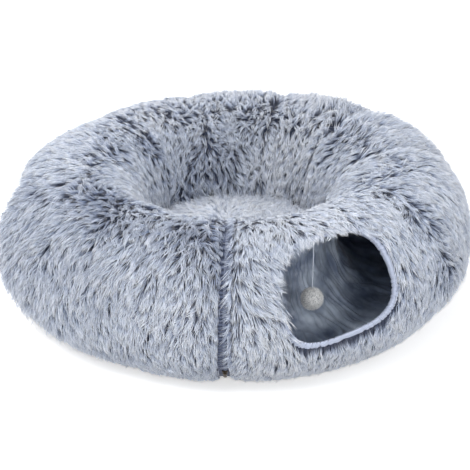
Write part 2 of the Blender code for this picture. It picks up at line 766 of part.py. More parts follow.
def main():
    clear_scene()
    parts = new_collection("cat_tunnel")
    guides = new_collection("cutters")
    plush = principled("long pile plush", (0.48, 0.52, 0.62), 0.9)
    pale_plush = principled("pale plush", (0.66, 0.68, 0.73), 0.9)
    lining_cloth = principled("polyester lining", (0.12, 0.14, 0.18), 0.45)
    binding_cloth = principled("binding tape", (0.46, 0.50, 0.68), 0.7)
    spring_steel = principled("spring steel", (0.5, 0.5, 0.52), 0.35, 1)
    zip_cloth = principled("zip tape", (0.05, 0.06, 0.09), 0.8)
    zip_plastic = principled("zip nylon", (0.06, 0.07, 0.10), 0.4)
    zip_metal = principled("zip metal", (0.30, 0.24, 0.18), 0.3, 1)
    cord_cloth = principled("elastic cord", (0.8, 0.8, 0.8), 0.6)
    pompom_pile = principled("pompom", (0.62, 0.61, 0.58), 0.95)
    grip_cloth = principled("grip cloth", (0.08, 0.08, 0.09), 0.7)

    count = len(panel_edges()) - 1
    panels = [make_panel(index, plush, parts) for index in range(count)]
    lining = make_lining(lining_cloth, parts)
    entrances = (
        ("front_entrance", (FRONT_ENTRANCE_ANGLE, FRONT_ENTRANCE_TILT, FRONT_ENTRANCE_ROLL)),
        ("side_entrance", (SIDE_ENTRANCE_ANGLE, SIDE_ENTRANCE_TILT, SIDE_ENTRANCE_ROLL)),
    )
    for name, entrance in entrances:
        cutter = make_entrance_cutter(f"{name}_cut", entrance, binding_cloth, guides)
        cut(lining, cutter)
        for panel, low, high in zip(panels, panel_edges(), panel_edges()[1:]):
            if low < entrance[0] < high:
                cut(panel, cutter)
        make_binding(f"{name}_binding", entrance, binding_cloth, parts)

    coil = trimmed_coil()
    make_wire("spring_coil", coil, WIRE_DIAMETER, 1, spring_steel, parts)
    clear = least_gap(coil, WIRE_DIAMETER, SECTION_SIDES // 2)
    print(f"spring coil: least gap between turns {1000 * clear:.2f} mm")
    make_sleeve("crimp_sleeve_right", 1, spring_steel, parts, guides)
    make_sleeve("crimp_sleeve_left", -1, spring_steel, parts, guides)

    for name, side in (("right", 1), ("left", -1)):
        make_tape(f"zip_tape_{name}", side, zip_cloth, parts)
        make_teeth(f"zip_teeth_{name}", side, zip_plastic, parts)
        make_stop(f"zip_stop_{name}", side, zip_metal, parts)
    make_retainer(zip_plastic, parts, guides)
    make_pin(zip_plastic, parts)
    make_slider(zip_metal, parts, guides)
    make_pull_tab(zip_metal, parts, guides)

    pivot = toy_pivot()
    make_ball("toy_knot", pivot, KNOT_RADIUS, 8, cord_cloth, parts)
    make_toy_cord(pivot, cord_cloth, parts)
    make_ball("toy_pompom", pivot - UP * TOY_DROP, POMPOM_RADIUS, 16, pompom_pile, parts)
    make_cushion(pale_plush, grip_cloth, parts)
    print("toy pivot", [round(value, 5) for value in pivot])
    print("panel seams", [round(math.degrees(angle), 1) for angle in panel_edges()])
    print("neck radius and height", [round(value, 4) for value in narrowest_lobe()])


main()
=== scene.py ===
# %% [markdown]
# # A ring-shaped plush tunnel for a cat
#
# The real object is a soft tube on a spring, bent into a ring and zipped shut, with a loose
# cushion in the bowl in its middle. What the eye meets first is the long pile: blue-grey, light at
# the tips and nearly navy at the roots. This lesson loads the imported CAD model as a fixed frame
# and dresses each piece of it, and every measure is in metres.

# %% Load the frame
import math

import bmesh
import bpy
import numpy as np
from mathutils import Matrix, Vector


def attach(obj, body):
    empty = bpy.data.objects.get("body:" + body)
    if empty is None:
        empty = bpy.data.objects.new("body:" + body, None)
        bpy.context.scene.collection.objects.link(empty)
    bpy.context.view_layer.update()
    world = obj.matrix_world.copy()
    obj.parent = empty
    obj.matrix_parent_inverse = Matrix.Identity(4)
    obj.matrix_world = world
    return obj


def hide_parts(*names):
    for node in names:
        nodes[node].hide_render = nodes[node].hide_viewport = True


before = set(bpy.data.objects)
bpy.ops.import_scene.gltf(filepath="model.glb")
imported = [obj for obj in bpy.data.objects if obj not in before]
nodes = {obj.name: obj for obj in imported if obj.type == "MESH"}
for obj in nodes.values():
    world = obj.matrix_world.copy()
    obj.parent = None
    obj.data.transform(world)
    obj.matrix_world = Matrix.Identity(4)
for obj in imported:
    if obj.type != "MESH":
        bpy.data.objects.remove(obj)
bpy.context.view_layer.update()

# %% [markdown]
# ## Camera
#
# The picture was taken from a little left of the front and from above. A camera is placed on a
# line through the aim point, given by its azimuth and elevation, and a small shift sets the
# object where the picture has it. A long lens keeps the ring's perspective mild.

# %% Camera
AIM = Vector((0, 0, 0.13))
CAMERA_DISTANCE = 2.2
CAMERA_AZIMUTH = math.radians(-23.4)
CAMERA_ELEVATION = math.radians(26.2)
PICTURE_WIDTH = 470
LENS_SHARE = 1120 / PICTURE_WIDTH  # focal length as a share of the picture's width
SHIFT = (-1.4 / PICTURE_WIDTH, -14.2 / PICTURE_WIDTH)
SENSOR_WIDTH = 36

camera_data = bpy.data.cameras.new("camera")
camera_data.sensor_width = SENSOR_WIDTH
camera_data.lens = LENS_SHARE * SENSOR_WIDTH
camera_data.shift_x, camera_data.shift_y = SHIFT
camera = bpy.data.objects.new("camera", camera_data)
toward = Vector((
    math.sin(CAMERA_AZIMUTH) * math.cos(CAMERA_ELEVATION),
    -math.cos(CAMERA_AZIMUTH) * math.cos(CAMERA_ELEVATION),
    math.sin(CAMERA_ELEVATION),
))
camera.location = AIM + CAMERA_DISTANCE * toward
camera.rotation_euler = toward.to_track_quat("Z", "Y").to_euler()
bpy.context.scene.collection.objects.link(camera)
bpy.context.scene.camera = camera
print("camera at", [round(x, 3) for x in camera.location])

# %% [markdown]
# ## The toy's cord
#
# A short elastic cord hangs from the knot under the entrance's upper binding. It is limp and
# loaded by the pompom, so it hangs straight. A bevelled curve would do as well, but a mesh tube
# round the cord's line is as easy and keeps its box exact.


# %% Helpers for meshes
def link(thing):
    """Put an object into the scene."""
    bpy.context.scene.collection.objects.link(thing)
    return thing


def new_mesh(name, points, faces, smooth=True):
    """An object from points and faces."""
    mesh = bpy.data.meshes.new(name)
    mesh.from_pydata([tuple(p) for p in points], [], faces)
    mesh.validate()
    mesh.update()
    if smooth:
        mesh.shade_smooth()
    return link(bpy.data.objects.new(name, mesh))


print("helpers for meshes are ready")

# %% Cord
CORD_TOP = Vector((-0.01241, -0.35149, 0.247078))
CORD_BOTTOM = Vector((-0.01241, -0.35149, 0.164178))
CORD_DIAMETER = 0.0015
CORD_STEPS = 20
CORD_SIDES = 12

cord_line = [CORD_TOP.lerp(CORD_BOTTOM, i / CORD_STEPS) for i in range(CORD_STEPS + 1)]
points, faces = [], [tuple(range(CORD_SIDES))]
for i, middle in enumerate(cord_line):
    for k in range(CORD_SIDES):
        turn = math.tau * k / CORD_SIDES
        points.append(middle + CORD_DIAMETER / 2 * Vector((math.cos(turn), math.sin(turn), 0)))
    if i < CORD_STEPS:
        for k in range(CORD_SIDES):
            a, b = i * CORD_SIDES + k, i * CORD_SIDES + (k + 1) % CORD_SIDES
            faces.append((b, a, a + CORD_SIDES, b + CORD_SIDES))
faces.append(tuple(reversed(range(CORD_STEPS * CORD_SIDES, len(points)))))
toy_cord = new_mesh("toy_cord_elastic", points, faces)
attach(toy_cord, "toy")
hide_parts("toy_cord")
print("cord length", round((CORD_TOP - CORD_BOTTOM).length, 4))

# %% [markdown]
# ## Colours and finishes
#
# Colours are written as sRGB hex values, as a paint chart has them, and one function turns them
# to the linear values that the renderer works in. A finish is a principled shader whose
# constants are typical of the real material. One helper adds any node with its settings and
# links, so that each finish reads as a short list.


# %% Helpers for finishes
def linear(code):
    """Linear RGBA of an sRGB hex colour."""
    shares = [int(code[i:i + 2], 16) / 255 for i in (1, 3, 5)]
    return (*[s / 12.92 if s <= 0.04045 else ((s + 0.055) / 1.055) ** 2.4 for s in shares], 1)


def new_finish(name, constants):
    """A material whose principled shader has these constants."""
    finish = bpy.data.materials.new(name)
    finish.use_nodes = True
    shader = finish.node_tree.nodes["Principled BSDF"]
    for socket, value in constants.items():
        shader.inputs[socket].default_value = value
    return finish


def add_node(finish, kind, inputs=(), stops=(), **settings):
    """Add a node; inputs are pairs of a socket and a value or another node's output."""
    node = finish.node_tree.nodes.new(kind)
    for name, value in settings.items():
        setattr(node, name, value)
    for socket, value in inputs:
        if isinstance(value, bpy.types.NodeSocket):
            finish.node_tree.links.new(value, node.inputs[socket])
        else:
            node.inputs[socket].default_value = value
    for i, (place, colour) in enumerate(stops):
        stop = node.color_ramp.elements[i] if i < 2 else node.color_ramp.elements.new(place)
        stop.position = place
        stop.color = linear(colour)
    return node


def to_shader(finish, socket, output):
    """Link a node's output to a socket of the finish's shader."""
    shader = finish.node_tree.nodes["Principled BSDF"]
    finish.node_tree.links.new(output, shader.inputs[socket])


def give_finish(piece, finish):
    """Let a piece have this finish and no other."""
    piece.data.materials.clear()
    piece.data.materials.append(finish)


print("helpers for colours and nodes are ready")

# %% [markdown]
# ## Floor, light and background
#
# A product picture like this one is taken on a white sweep under large soft lamps. The floor
# looks white to the camera and to mirrors by its own faint glow, while it still takes the
# object's shadow. The lamps stay at a plain level, so that a colour renders about as written.

# %% Floor
STUDIO_SIZE = 12
FLOOR_GLOW = 0.52

half = STUDIO_SIZE / 2
corners = [(-half, -half, 0), (half, -half, 0), (half, half, 0), (-half, half, 0)]
floor = new_mesh("studio_floor", corners, [(0, 1, 2, 3)], smooth=False)
floor_finish = new_finish("white sweep", {"Base Color": linear("#f0f0f0"), "Roughness": 0.9})
rays = add_node(floor_finish, "ShaderNodeLightPath").outputs
seen = rays["Is Camera Ray"]
for kind in ("Is Glossy Ray", "Is Transmission Ray"):
    seen = add_node(floor_finish, "ShaderNodeMath", [(0, seen), (1, rays[kind])],
                    operation="ADD", use_clamp=True).outputs[0]
glow = add_node(floor_finish, "ShaderNodeMath", [(0, seen), (1, FLOOR_GLOW)],
                operation="MULTIPLY")
white = add_node(floor_finish, "ShaderNodeRGB").outputs[0]
white.default_value = linear("#ffffff")
to_shader(floor_finish, "Emission Color", white)
to_shader(floor_finish, "Emission Strength", glow.outputs[0])
give_finish(floor, floor_finish)
print("floor:", STUDIO_SIZE, "m wide")

# %% World and lamps
WORLD_STRENGTH = 0.50
LAMPS = (
    # name, position, size, power
    ("key lamp", (-1.9, -1.1, 3.0), 1.3, 72),
    ("front lamp", (-0.4, -2.4, 1.20), 0.45, 17),
    ("fill lamp", (2.6, -1.6, 2.4), 2.4, 22),
    ("back lamp", (-0.3, 2.4, 3.2), 2.4, 84),
)

world = bpy.data.worlds.new("studio")
world.use_nodes = True
bpy.context.scene.world = world
world_rays = add_node(world, "ShaderNodeLightPath")
mix = add_node(world, "ShaderNodeMix", [(0, world_rays.outputs["Is Camera Ray"]),
                                        (2, WORLD_STRENGTH), (3, 1.0)], data_type="FLOAT")
background = world.node_tree.nodes["Background"]
background.inputs["Color"].default_value = linear("#ffffff")
world.node_tree.links.new(mix.outputs[0], background.inputs["Strength"])

for name, place, size, power in LAMPS:
    lamp_data = bpy.data.lights.new(name, "AREA")
    lamp_data.size = size
    lamp_data.energy = power
    lamp = link(bpy.data.objects.new(name, lamp_data))
    lamp.location = place
    lamp.rotation_euler = (Vector(place) - AIM).to_track_quat("Z", "Y").to_euler()
bpy.context.scene.view_settings.view_transform = "Standard"
print("lamps:", len(LAMPS))

# %% [markdown]
# ## The tube's shape
#
# Every soft piece lies on the same bent tube, so it is described once: a ring angle goes round
# the ring, a section angle goes round the tube, from 0 at the outer side over 90 at the top to
# 180 at the side that faces the cushion. The spring's turns hold the cover at its seams, and
# between two seams a panel swells by its pile. The soft ring also bulges in three places, at
# its left end and along its far right side. The sizes are those of the CAD model.

# %% Tube
RING_RADIUS = 0.310
PLUSH_RADIUS = 0.140
TUBE_HEIGHT = 0.132
SPRING_RADIUS = 0.125
LINING_OUTER = 0.12255
LINING_THICKNESS = 0.0015
COVER_INNER = 0.12879
FLANGE_OUTER = 0.13029
CREASE_FULLNESS = 0.07
CREASE_SHARPNESS = 4
BELLY_SHARE = 0.12
BELLY_ANGLE = math.radians(208)
BELLY_SPREAD = math.radians(25)
SWELLS = (
    # ring angle, section angle, spreads along the ring and round the tube, share of the radius
    (182, 8, 17, 34, 0.12),
    (5, 64, 26, 32, 0.11),
    (50, 80, 22, 34, 0.06),
)
ZIP_ANGLE = math.radians(-116)
CLOTH_END = 0.0035
DRIFT = math.radians(7)  # how far a crease turns aside on its way down the tube
DRIFT_ANGLE = math.radians(-57)
DRIFT_SPREAD = math.radians(12)
DRIFT_BELOW = math.radians(75)  # counted from the underside
HALF_WIDTH = 0.108  # of an entrance
BESIDE_ENTRANCE = 0.169  # plush from an entrance's edge to the next seam
FRONT_ANGLE = math.radians(-90)
SIDE_ANGLE = math.radians(157)
HALF_PANEL_AT_ENTRANCE = math.asin(
    (HALF_WIDTH + BESIDE_ENTRANCE) / (RING_RADIUS + SPRING_RADIUS)
)
FIRST_SEAM = FRONT_ANGLE + HALF_PANEL_AT_ENTRANCE
SEAM_BEFORE_SIDE = SIDE_ANGLE - HALF_PANEL_AT_ENTRANCE
SEAM_AFTER_SIDE = SIDE_ANGLE + HALF_PANEL_AT_ENTRANCE
ZIP_END = ZIP_ANGLE + math.tau
seams = [ZIP_ANGLE, *np.linspace(FIRST_SEAM, SEAM_BEFORE_SIDE, 6),
         *np.linspace(SEAM_AFTER_SIDE, ZIP_END, 3)]
print("panel seams:", [round(math.degrees(s)) for s in seams])


# %% Points on the tube
def tube_point(ring, section, radius):
    """Points of the bent tube, from arrays of ring angle, section angle and tube radius."""
    reach = RING_RADIUS + radius * np.cos(section)
    height = TUBE_HEIGHT + radius * np.sin(section)
    return np.stack([reach * np.cos(ring), reach * np.sin(ring), height + 0 * reach], -1)


def out_of_tube(ring, section):
    """Unit vectors straight out of the tube."""
    outward = np.stack([np.cos(ring), np.sin(ring), 0 * ring], -1)
    up = np.array([0, 0, 1.0])
    return np.cos(section)[..., None] * outward + np.sin(section)[..., None] * up


def seam_share(ring):
    """Where a ring angle lies between its panel's seams, from 0 to 1."""
    turned = (ring - ZIP_ANGLE) % math.tau + ZIP_ANGLE
    index = np.clip(np.searchsorted(seams, turned, side="right") - 1, 0, len(seams) - 2)
    low, high = np.array(seams)[index], np.array(seams)[index + 1]
    return (turned - low) / (high - low)


print("a point at the zip:", tube_point(ZIP_ANGLE, 0.0, FLANGE_OUTER).round(3))


# %% Creases and swells
def bend(angle, middle):
    """Difference of two angles, from minus to plus half a turn."""
    return (angle - middle + math.pi) % math.tau - math.pi


def from_underside(section):
    """Section angle counted on from the tube's underside, from -90 to 270 degrees."""
    return (section + math.pi / 2) % math.tau - math.pi / 2


def hill(distance, spread):
    """1 at no distance and less further away, nearly 0 at two spreads."""
    return np.exp(-((distance / spread) ** 2))


def near_place(ring, section, place):
    """How near points are to a place of a table, and how many spreads off along and round."""
    at_ring, at_section, wide, high = np.radians(place[:4])
    a, b = bend(ring, at_ring) / wide, bend(section, at_section) / high
    return np.exp(-0.5 * (a * a + b * b)), a, b


def add_places(value, ring, section, places):
    """Add to a value what each place of a table gives, which is the place's last number."""
    for place in places:
        value = value + place[4] * near_place(ring, section, place)[0]
    return value


def drifted(ring, section):
    """Ring angle to look a crease up by: right of the front entrance it drifts down the tube."""
    low = 1 / (1 + np.exp((from_underside(section) - DRIFT_BELOW) / DRIFT_SPREAD))
    return ring + DRIFT * low * hill(ring - DRIFT_ANGLE, DRIFT_SPREAD)


def cover_radius(ring, section):
    """Tube radius of the pile's surface where a panel is fullest: it sags and swells."""
    share = 1 + BELLY_SHARE * hill(section % math.tau - BELLY_ANGLE, BELLY_SPREAD)
    return PLUSH_RADIUS * add_places(share, ring, section, SWELLS)


def pile_radius(ring, section):
    """Tube radius of the pile's surface, drawn in at the creases."""
    share = seam_share(drifted(ring, section))
    fullness = np.maximum(CREASE_FULLNESS, 1 - np.abs(2 * share - 1) ** CREASE_SHARPNESS)
    return FLANGE_OUTER + fullness * (cover_radius(ring, section) - FLANGE_OUTER)


print("pile at the left end:", round(float(pile_radius(math.pi, 0.0)), 4))

# %% [markdown]
# ## The entrances
#
# Two rounded openings are cut through cover and lining, and both share one outline. The front
# one has rolled a little with the soft tube, its right side up. A point's place in an entrance
# is its width and height in the opening's own plane. The outline's measure is 1 on the edge and
# less inside, which later keeps pile and pleats where they belong.

# %% Entrances
HALF_HEIGHT = 0.0855
SQUARENESS = 3.2
OUTLINE_POINTS = 144
BEHIND = 9.0  # outline measure of points behind an opening
HALVINGS = 40
ENTRANCES = {  # ring angle, tilt above the horizontal, roll
    "front": (FRONT_ANGLE, math.radians(33), math.radians(8.5)),
    "side": (SIDE_ANGLE, math.radians(12), 0),
}


def entrance_axes(entrance):
    """Middle of the tube at an entrance, and its width, height and outward directions."""
    ring, tilt, roll = ENTRANCES[entrance]
    middle = np.array([RING_RADIUS * math.cos(ring), RING_RADIUS * math.sin(ring), TUBE_HEIGHT])
    outward = np.array([math.cos(ring), math.sin(ring), 0])
    up = np.array([0, 0, 1.0])
    away = math.cos(tilt) * outward + math.sin(tilt) * up
    level = np.cross(up, outward)
    across = math.cos(roll) * level + math.sin(roll) * np.cross(away, level)
    return middle, across, np.cross(away, across), away


def in_entrance(points, entrance):
    """Width, height and outline measure of points; the measure is large behind the opening."""
    middle, across, upward, away = entrance_axes(entrance)
    offset = points - middle
    x, y, depth = offset @ across, offset @ upward, offset @ away
    shares = np.abs(x / HALF_WIDTH) ** SQUARENESS + np.abs(y / HALF_HEIGHT) ** SQUARENESS
    return x, y, np.where(depth > 0, shares ** (1 / SQUARENESS), BEHIND)


def outline(inset, count=OUTLINE_POINTS):
    """The opening's rounded outline, drawn in by inset, as widths and heights."""
    turn = np.linspace(0, math.tau, count, endpoint=False)
    c, s = np.cos(turn), np.sin(turn)
    power = 2 / SQUARENESS
    x = (HALF_WIDTH - inset) * np.copysign(np.abs(c) ** power, c)
    y = (HALF_HEIGHT - inset) * np.copysign(np.abs(s) ** power, s)
    return x, y


def pierce(entrance, x, y, radius):
    """Where lines along an entrance's axis leave the tube of this radius."""
    middle, across, upward, away = entrance_axes(entrance)
    start = middle + x[:, None] * across + y[:, None] * upward
    low, high = np.zeros(len(x)), np.full(len(x), 2 * PLUSH_RADIUS)
    for _ in range(HALVINGS):
        reach = (low + high) / 2
        point = start + reach[:, None] * away
        from_line = np.hypot(point[:, 0], point[:, 1]) - RING_RADIUS
        inside = np.hypot(from_line, point[:, 2] - TUBE_HEIGHT) < radius
        low, high = np.where(inside, reach, low), np.where(inside, high, reach)
    return start + low[:, None] * away


print("entrance:", 2 * HALF_WIDTH, "x", 2 * HALF_HEIGHT)

# %% [markdown]
# ## The backing of the plush
#
# Under the pile lies a knitted backing with the dense roots of the fibres, dark navy. It shows
# only where the pile parts. It could be left out, but then light would leak through the gaps, so
# each panel gets a closed shell: a fine grid inside and outside, joined round its edges, with
# the entrances cut through by an exact Boolean.

# %% Backing shells
RING_STEP = math.radians(1.3)
SECTION_STEPS = 84
ROOT_DEPTH_SHARE = 0.30  # how full the shell is under the pile's surface
ROOT_ROUGHNESS = 0.0006
FLOOR_CLEARANCE = 0.0004


def root_radius(ring, section):
    """Tube radius of the backing with its dense roots, under the pile."""
    under = FLANGE_OUTER + ROOT_DEPTH_SHARE * (pile_radius(ring, section) - FLANGE_OUTER)
    rough = ROOT_ROUGHNESS * np.sin(61 * ring + 7 * section) * np.sin(23 * section - 17 * ring)
    return under + rough * (under > FLANGE_OUTER + 2 * ROOT_ROUGHNESS)


def shell(name, outer, inner):
    """A closed shell from two grids of points, closed round the section and open at the ends."""
    rows, columns = outer.shape[:2]
    points = np.concatenate([outer.reshape(-1, 3), inner.reshape(-1, 3)])
    far = rows * columns
    faces = []
    for i in range(rows - 1):
        for j in range(columns):
            a, b = i * columns + j, i * columns + (j + 1) % columns
            c, d = b + columns, a + columns
            faces += [(a, b, c, d), (far + d, far + c, far + b, far + a)]
    for j in range(columns):
        k = (j + 1) % columns
        last = (rows - 1) * columns
        faces += [(k, j, far + j, far + k), (last + j, last + k, far + last + k, far + last + j)]
    return new_mesh(name, points, faces)


print("roots at", round(float(root_radius(0.9, 1.5)), 4))

# %% Cutting
CUTTER_REACH = (0.06, 0.20)  # from the tube's middle, through its wall
SEAM_GAP = 0.00015


def apply_modifiers(thing):
    """Replace the piece's mesh by what its modifiers make of it."""
    made = thing.evaluated_get(bpy.context.evaluated_depsgraph_get())
    mesh = bpy.data.meshes.new_from_object(made)
    thing.modifiers.clear()
    old, thing.data = thing.data, mesh
    bpy.data.meshes.remove(old)
    return thing


def cut_entrance(thing, entrance):
    """Cut an entrance's outline through a shell."""
    middle, across, upward, away = entrance_axes(entrance)
    x, y = outline(0)
    rings = [middle + x[:, None] * across + y[:, None] * upward + reach * away
             for reach in CUTTER_REACH]
    count = len(x)
    faces = [tuple(range(count))[::-1], tuple(range(count, 2 * count))]
    faces += [(i, (i + 1) % count, count + (i + 1) % count, count + i) for i in range(count)]
    cutter = new_mesh("entrance_cutter", np.concatenate(rings), faces, smooth=False)
    hole = thing.modifiers.new("entrance", "BOOLEAN")
    hole.operation = "DIFFERENCE"
    hole.solver = "EXACT"
    hole.object = cutter
    apply_modifiers(thing)
    bpy.data.objects.remove(cutter)
    thing.data.shade_smooth()
    return thing


def panel_rings(index):
    """Ring angles of the cuts through one panel, close enough for its curves."""
    low, high = seams[index], seams[index + 1]
    gap = SEAM_GAP / (RING_RADIUS - PLUSH_RADIUS)
    steps = max(8, round((high - low) / RING_STEP))
    return np.linspace(low + gap, high - gap, steps + 1)


print("cuts through panel 3:", len(panel_rings(2)))

# %% Beside the zip
FLANGE_WIDTH = 0.014
NEAR_ZIP = 0.6  # radians along the ring
FAR_AWAY = 1.0


def off_zip(points, ring, clear):
    """Keep points at least this far from the zip's plane, each on its own side."""
    along = np.array([-math.sin(ZIP_ANGLE), math.cos(ZIP_ANGLE), 0])
    near = np.cos(ring - ZIP_ANGLE) > 0
    offset = points @ along
    side = np.where(np.sin(ring - ZIP_ANGLE) >= 0, 1.0, -1.0)
    push = np.where(near, np.maximum(0, clear - side * offset), 0)
    return points + (side * push)[..., None] * along


def zip_distance(ring, section, radius):
    """Distance of points from the zip's plane; far away round the ring it is large."""
    reach = RING_RADIUS + radius * np.cos(section)
    turned = bend(ring, ZIP_ANGLE)
    return np.where(np.abs(turned) < NEAR_ZIP, np.abs(np.sin(turned)) * reach, FAR_AWAY)


def shoulder_share(ring, section):
    """0 on the bare flange beside the zip and 1 where the pile has its full height."""
    distance = zip_distance(ring, section, PLUSH_RADIUS)
    return np.clip((distance - 0.4 * FLANGE_WIDTH) / (1.2 * FLANGE_WIDTH), 0, 1)


print("full height from the zip's plane:", round(1.6 * FLANGE_WIDTH, 4))

# %% Make the backing
ENTRANCE_OF_PANEL = {0: "front", 6: "side"}

section = np.linspace(0, math.tau, SECTION_STEPS, endpoint=False)
panels = range(len(seams) - 1)
backing = []
for index in panels:
    ring, around = np.meshgrid(panel_rings(index), section, indexing="ij")
    bare = shoulder_share(ring, around)
    outer_radius = FLANGE_OUTER + bare * (root_radius(ring, around) - FLANGE_OUTER)
    outer = off_zip(tube_point(ring, around, outer_radius), ring, CLOTH_END)
    outer[..., 2] = np.maximum(outer[..., 2], FLOOR_CLEARANCE)
    inner = off_zip(tube_point(ring, around, COVER_INNER + 0 * ring), ring, CLOTH_END)
    piece = shell(f"panel_{index + 1}_backing", outer, inner)
    if index in ENTRANCE_OF_PANEL:
        cut_entrance(piece, ENTRANCE_OF_PANEL[index])
    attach(piece, "tunnel")
    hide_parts(f"cover_panel_{index + 1}")
    backing.append(piece)
print("backing pieces:", len(backing), "faces:", sum(len(p.data.polygons) for p in backing))

# %% [markdown]
# ## Finish of the backing
#
# Knitted polyester with cut roots: a matt navy cloth whose fibres soak up light. A fine noise
# at the scale of root bundles, about 3 mm, varies it, and a bump breaks up its surface. Most
# finishes here are made like that: one pattern, laid over the piece in its own coordinates,
# drives the colour through a ramp, and the bump or the gloss too where the real surface varies.


# %% Root finish
def lay_pattern(finish, kind, inputs, stops, output="Fac", bump=None, gloss=None, **settings):
    """Colour a finish by a pattern; bump is strength and depth, gloss the two roughnesses."""
    place = add_node(finish, "ShaderNodeTexCoord").outputs["Object"]
    pattern = add_node(finish, kind, [("Vector", place), *inputs], **settings).outputs[output]
    tone = add_node(finish, "ShaderNodeValToRGB", [("Fac", pattern)], stops=stops)
    to_shader(finish, "Base Color", tone.outputs["Color"])
    if bump:
        relief = add_node(finish, "ShaderNodeBump", [("Height", pattern), ("Strength", bump[0]),
                                                     ("Distance", bump[1])])
        to_shader(finish, "Normal", relief.outputs["Normal"])
    if gloss:
        rough = add_node(finish, "ShaderNodeMapRange", [("Value", pattern), ("To Min", gloss[0]),
                                                        ("To Max", gloss[1])])
        to_shader(finish, "Roughness", rough.outputs["Result"])


root_finish = new_finish("knitted backing with dark roots",
                         {"Roughness": 0.95, "Sheen Weight": 0.1})
lay_pattern(root_finish, "ShaderNodeTexNoise", [("Scale", 1 / 0.003), ("Detail", 3.0)],
            [(0.3, "#1d2233"), (0.7, "#3d465c")], bump=(0.6, 0.001))
for piece in backing:
    give_finish(piece, root_finish)
print("finish:", root_finish.name)

# %% [markdown]
# ## Long pile
#
# Faux fur of this kind has fibres 25 to 45 mm long that cling together in locks. Particle hair
# would be the usual way, but hair has no faces to export, so each strand here is a slim
# three-sided sliver with a ridge on top, thicker than a real fibre because a lock of real ones
# would be too fine to show. Strands grow in locks whose tips draw together, and every lock is
# combed: from a parting on the crest it falls outward to the floor or inward to the bowl.
#
# Colour runs along the strand, dark at the root and light at the tip. The strand's own UV map
# holds a shade across and root to tip upwards, so one small finish colours all of them.

# %% Strand mesh
STRAND_CORNERS = np.radians([90, 210, 330])
STRAND_FLATNESS = 0.6
STRAND_PROFILE = (0.75, 1.0, 0.7)
STRAND_HEIGHTS = (0, 0.34, 0.68)
STRAND_POINTS = 10
SHADE_SPREAD = 0.012
UV_MARGIN, UV_SPAN = 0.02, 0.96


def strand_template():
    """Corners and UV offsets of one strand's 16 triangles; its 10 points are 3 rings and a tip."""
    triangles = [(0, 2, 1)]
    for ring in (0, 1):
        for k in range(3):
            a, b = 3 * ring + k, 3 * ring + (k + 1) % 3
            triangles += [(a, b, b + 3), (a, b + 3, a + 3)]
    triangles += [(6 + k, 6 + (k + 1) % 3, 9) for k in range(3)]
    corner = np.array(triangles)
    height = np.array([*np.repeat(STRAND_HEIGHTS, 3), 1.0])
    across = np.array([-1, 0, 1] * 3 + [0.4])
    v = UV_MARGIN + UV_SPAN * height[corner]
    v[0] += (0, 0.01, 0.005)
    return corner, across[corner] * SHADE_SPREAD, v


def strand_mesh(name, paths, up, half_width, shade):
    """One mesh of many strands, from 4 points each, an up direction, widths and shades."""
    count = len(paths)
    ahead = np.diff(paths, axis=1)
    tangent = np.concatenate([ahead[:, :1], ahead[:, :-1] + ahead[:, 1:]], 1)
    tangent /= np.linalg.norm(tangent, axis=-1, keepdims=True)
    side = np.cross(tangent, up[:, None])
    side /= np.linalg.norm(side, axis=-1, keepdims=True)
    rise = np.cross(side, tangent)
    points = np.empty((count, STRAND_POINTS, 3))
    for i, share in enumerate(STRAND_PROFILE):
        for k, turn in enumerate(STRAND_CORNERS):
            spread = math.cos(turn) * side[:, i] + STRAND_FLATNESS * math.sin(turn) * rise[:, i]
            points[:, 3 * i + k] = paths[:, i] + (share * half_width)[:, None] * spread
    points[:, -1] = paths[:, -1]
    corner, u_offset, v = strand_template()
    corners = (corner.reshape(1, -1) + STRAND_POINTS * np.arange(count)[:, None]).ravel()
    u = (UV_MARGIN + UV_SPAN * np.clip(shade, 0, 1))[:, None] + u_offset.reshape(1, -1)
    uv = np.stack([np.clip(u, 0, 1), np.broadcast_to(v.reshape(1, -1), u.shape)], -1)
    faces = count * len(corner)
    mesh = bpy.data.meshes.new(name)
    mesh.vertices.add(count * STRAND_POINTS)
    mesh.vertices.foreach_set("co", points.astype(np.float32).ravel())
    mesh.loops.add(len(corners))
    mesh.loops.foreach_set("vertex_index", corners.astype(np.int32))
    mesh.polygons.add(faces)
    mesh.polygons.foreach_set("loop_start", np.arange(faces, dtype=np.int32) * 3)
    mesh.polygons.foreach_set("use_smooth", np.ones(faces, bool))
    mesh.uv_layers.new(name="OFBake").uv.foreach_set("vector", uv.astype(np.float32).ravel())
    mesh.update(calc_edges=True)
    return link(bpy.data.objects.new(name, mesh))


print("triangles per strand:", len(strand_template()[0]))
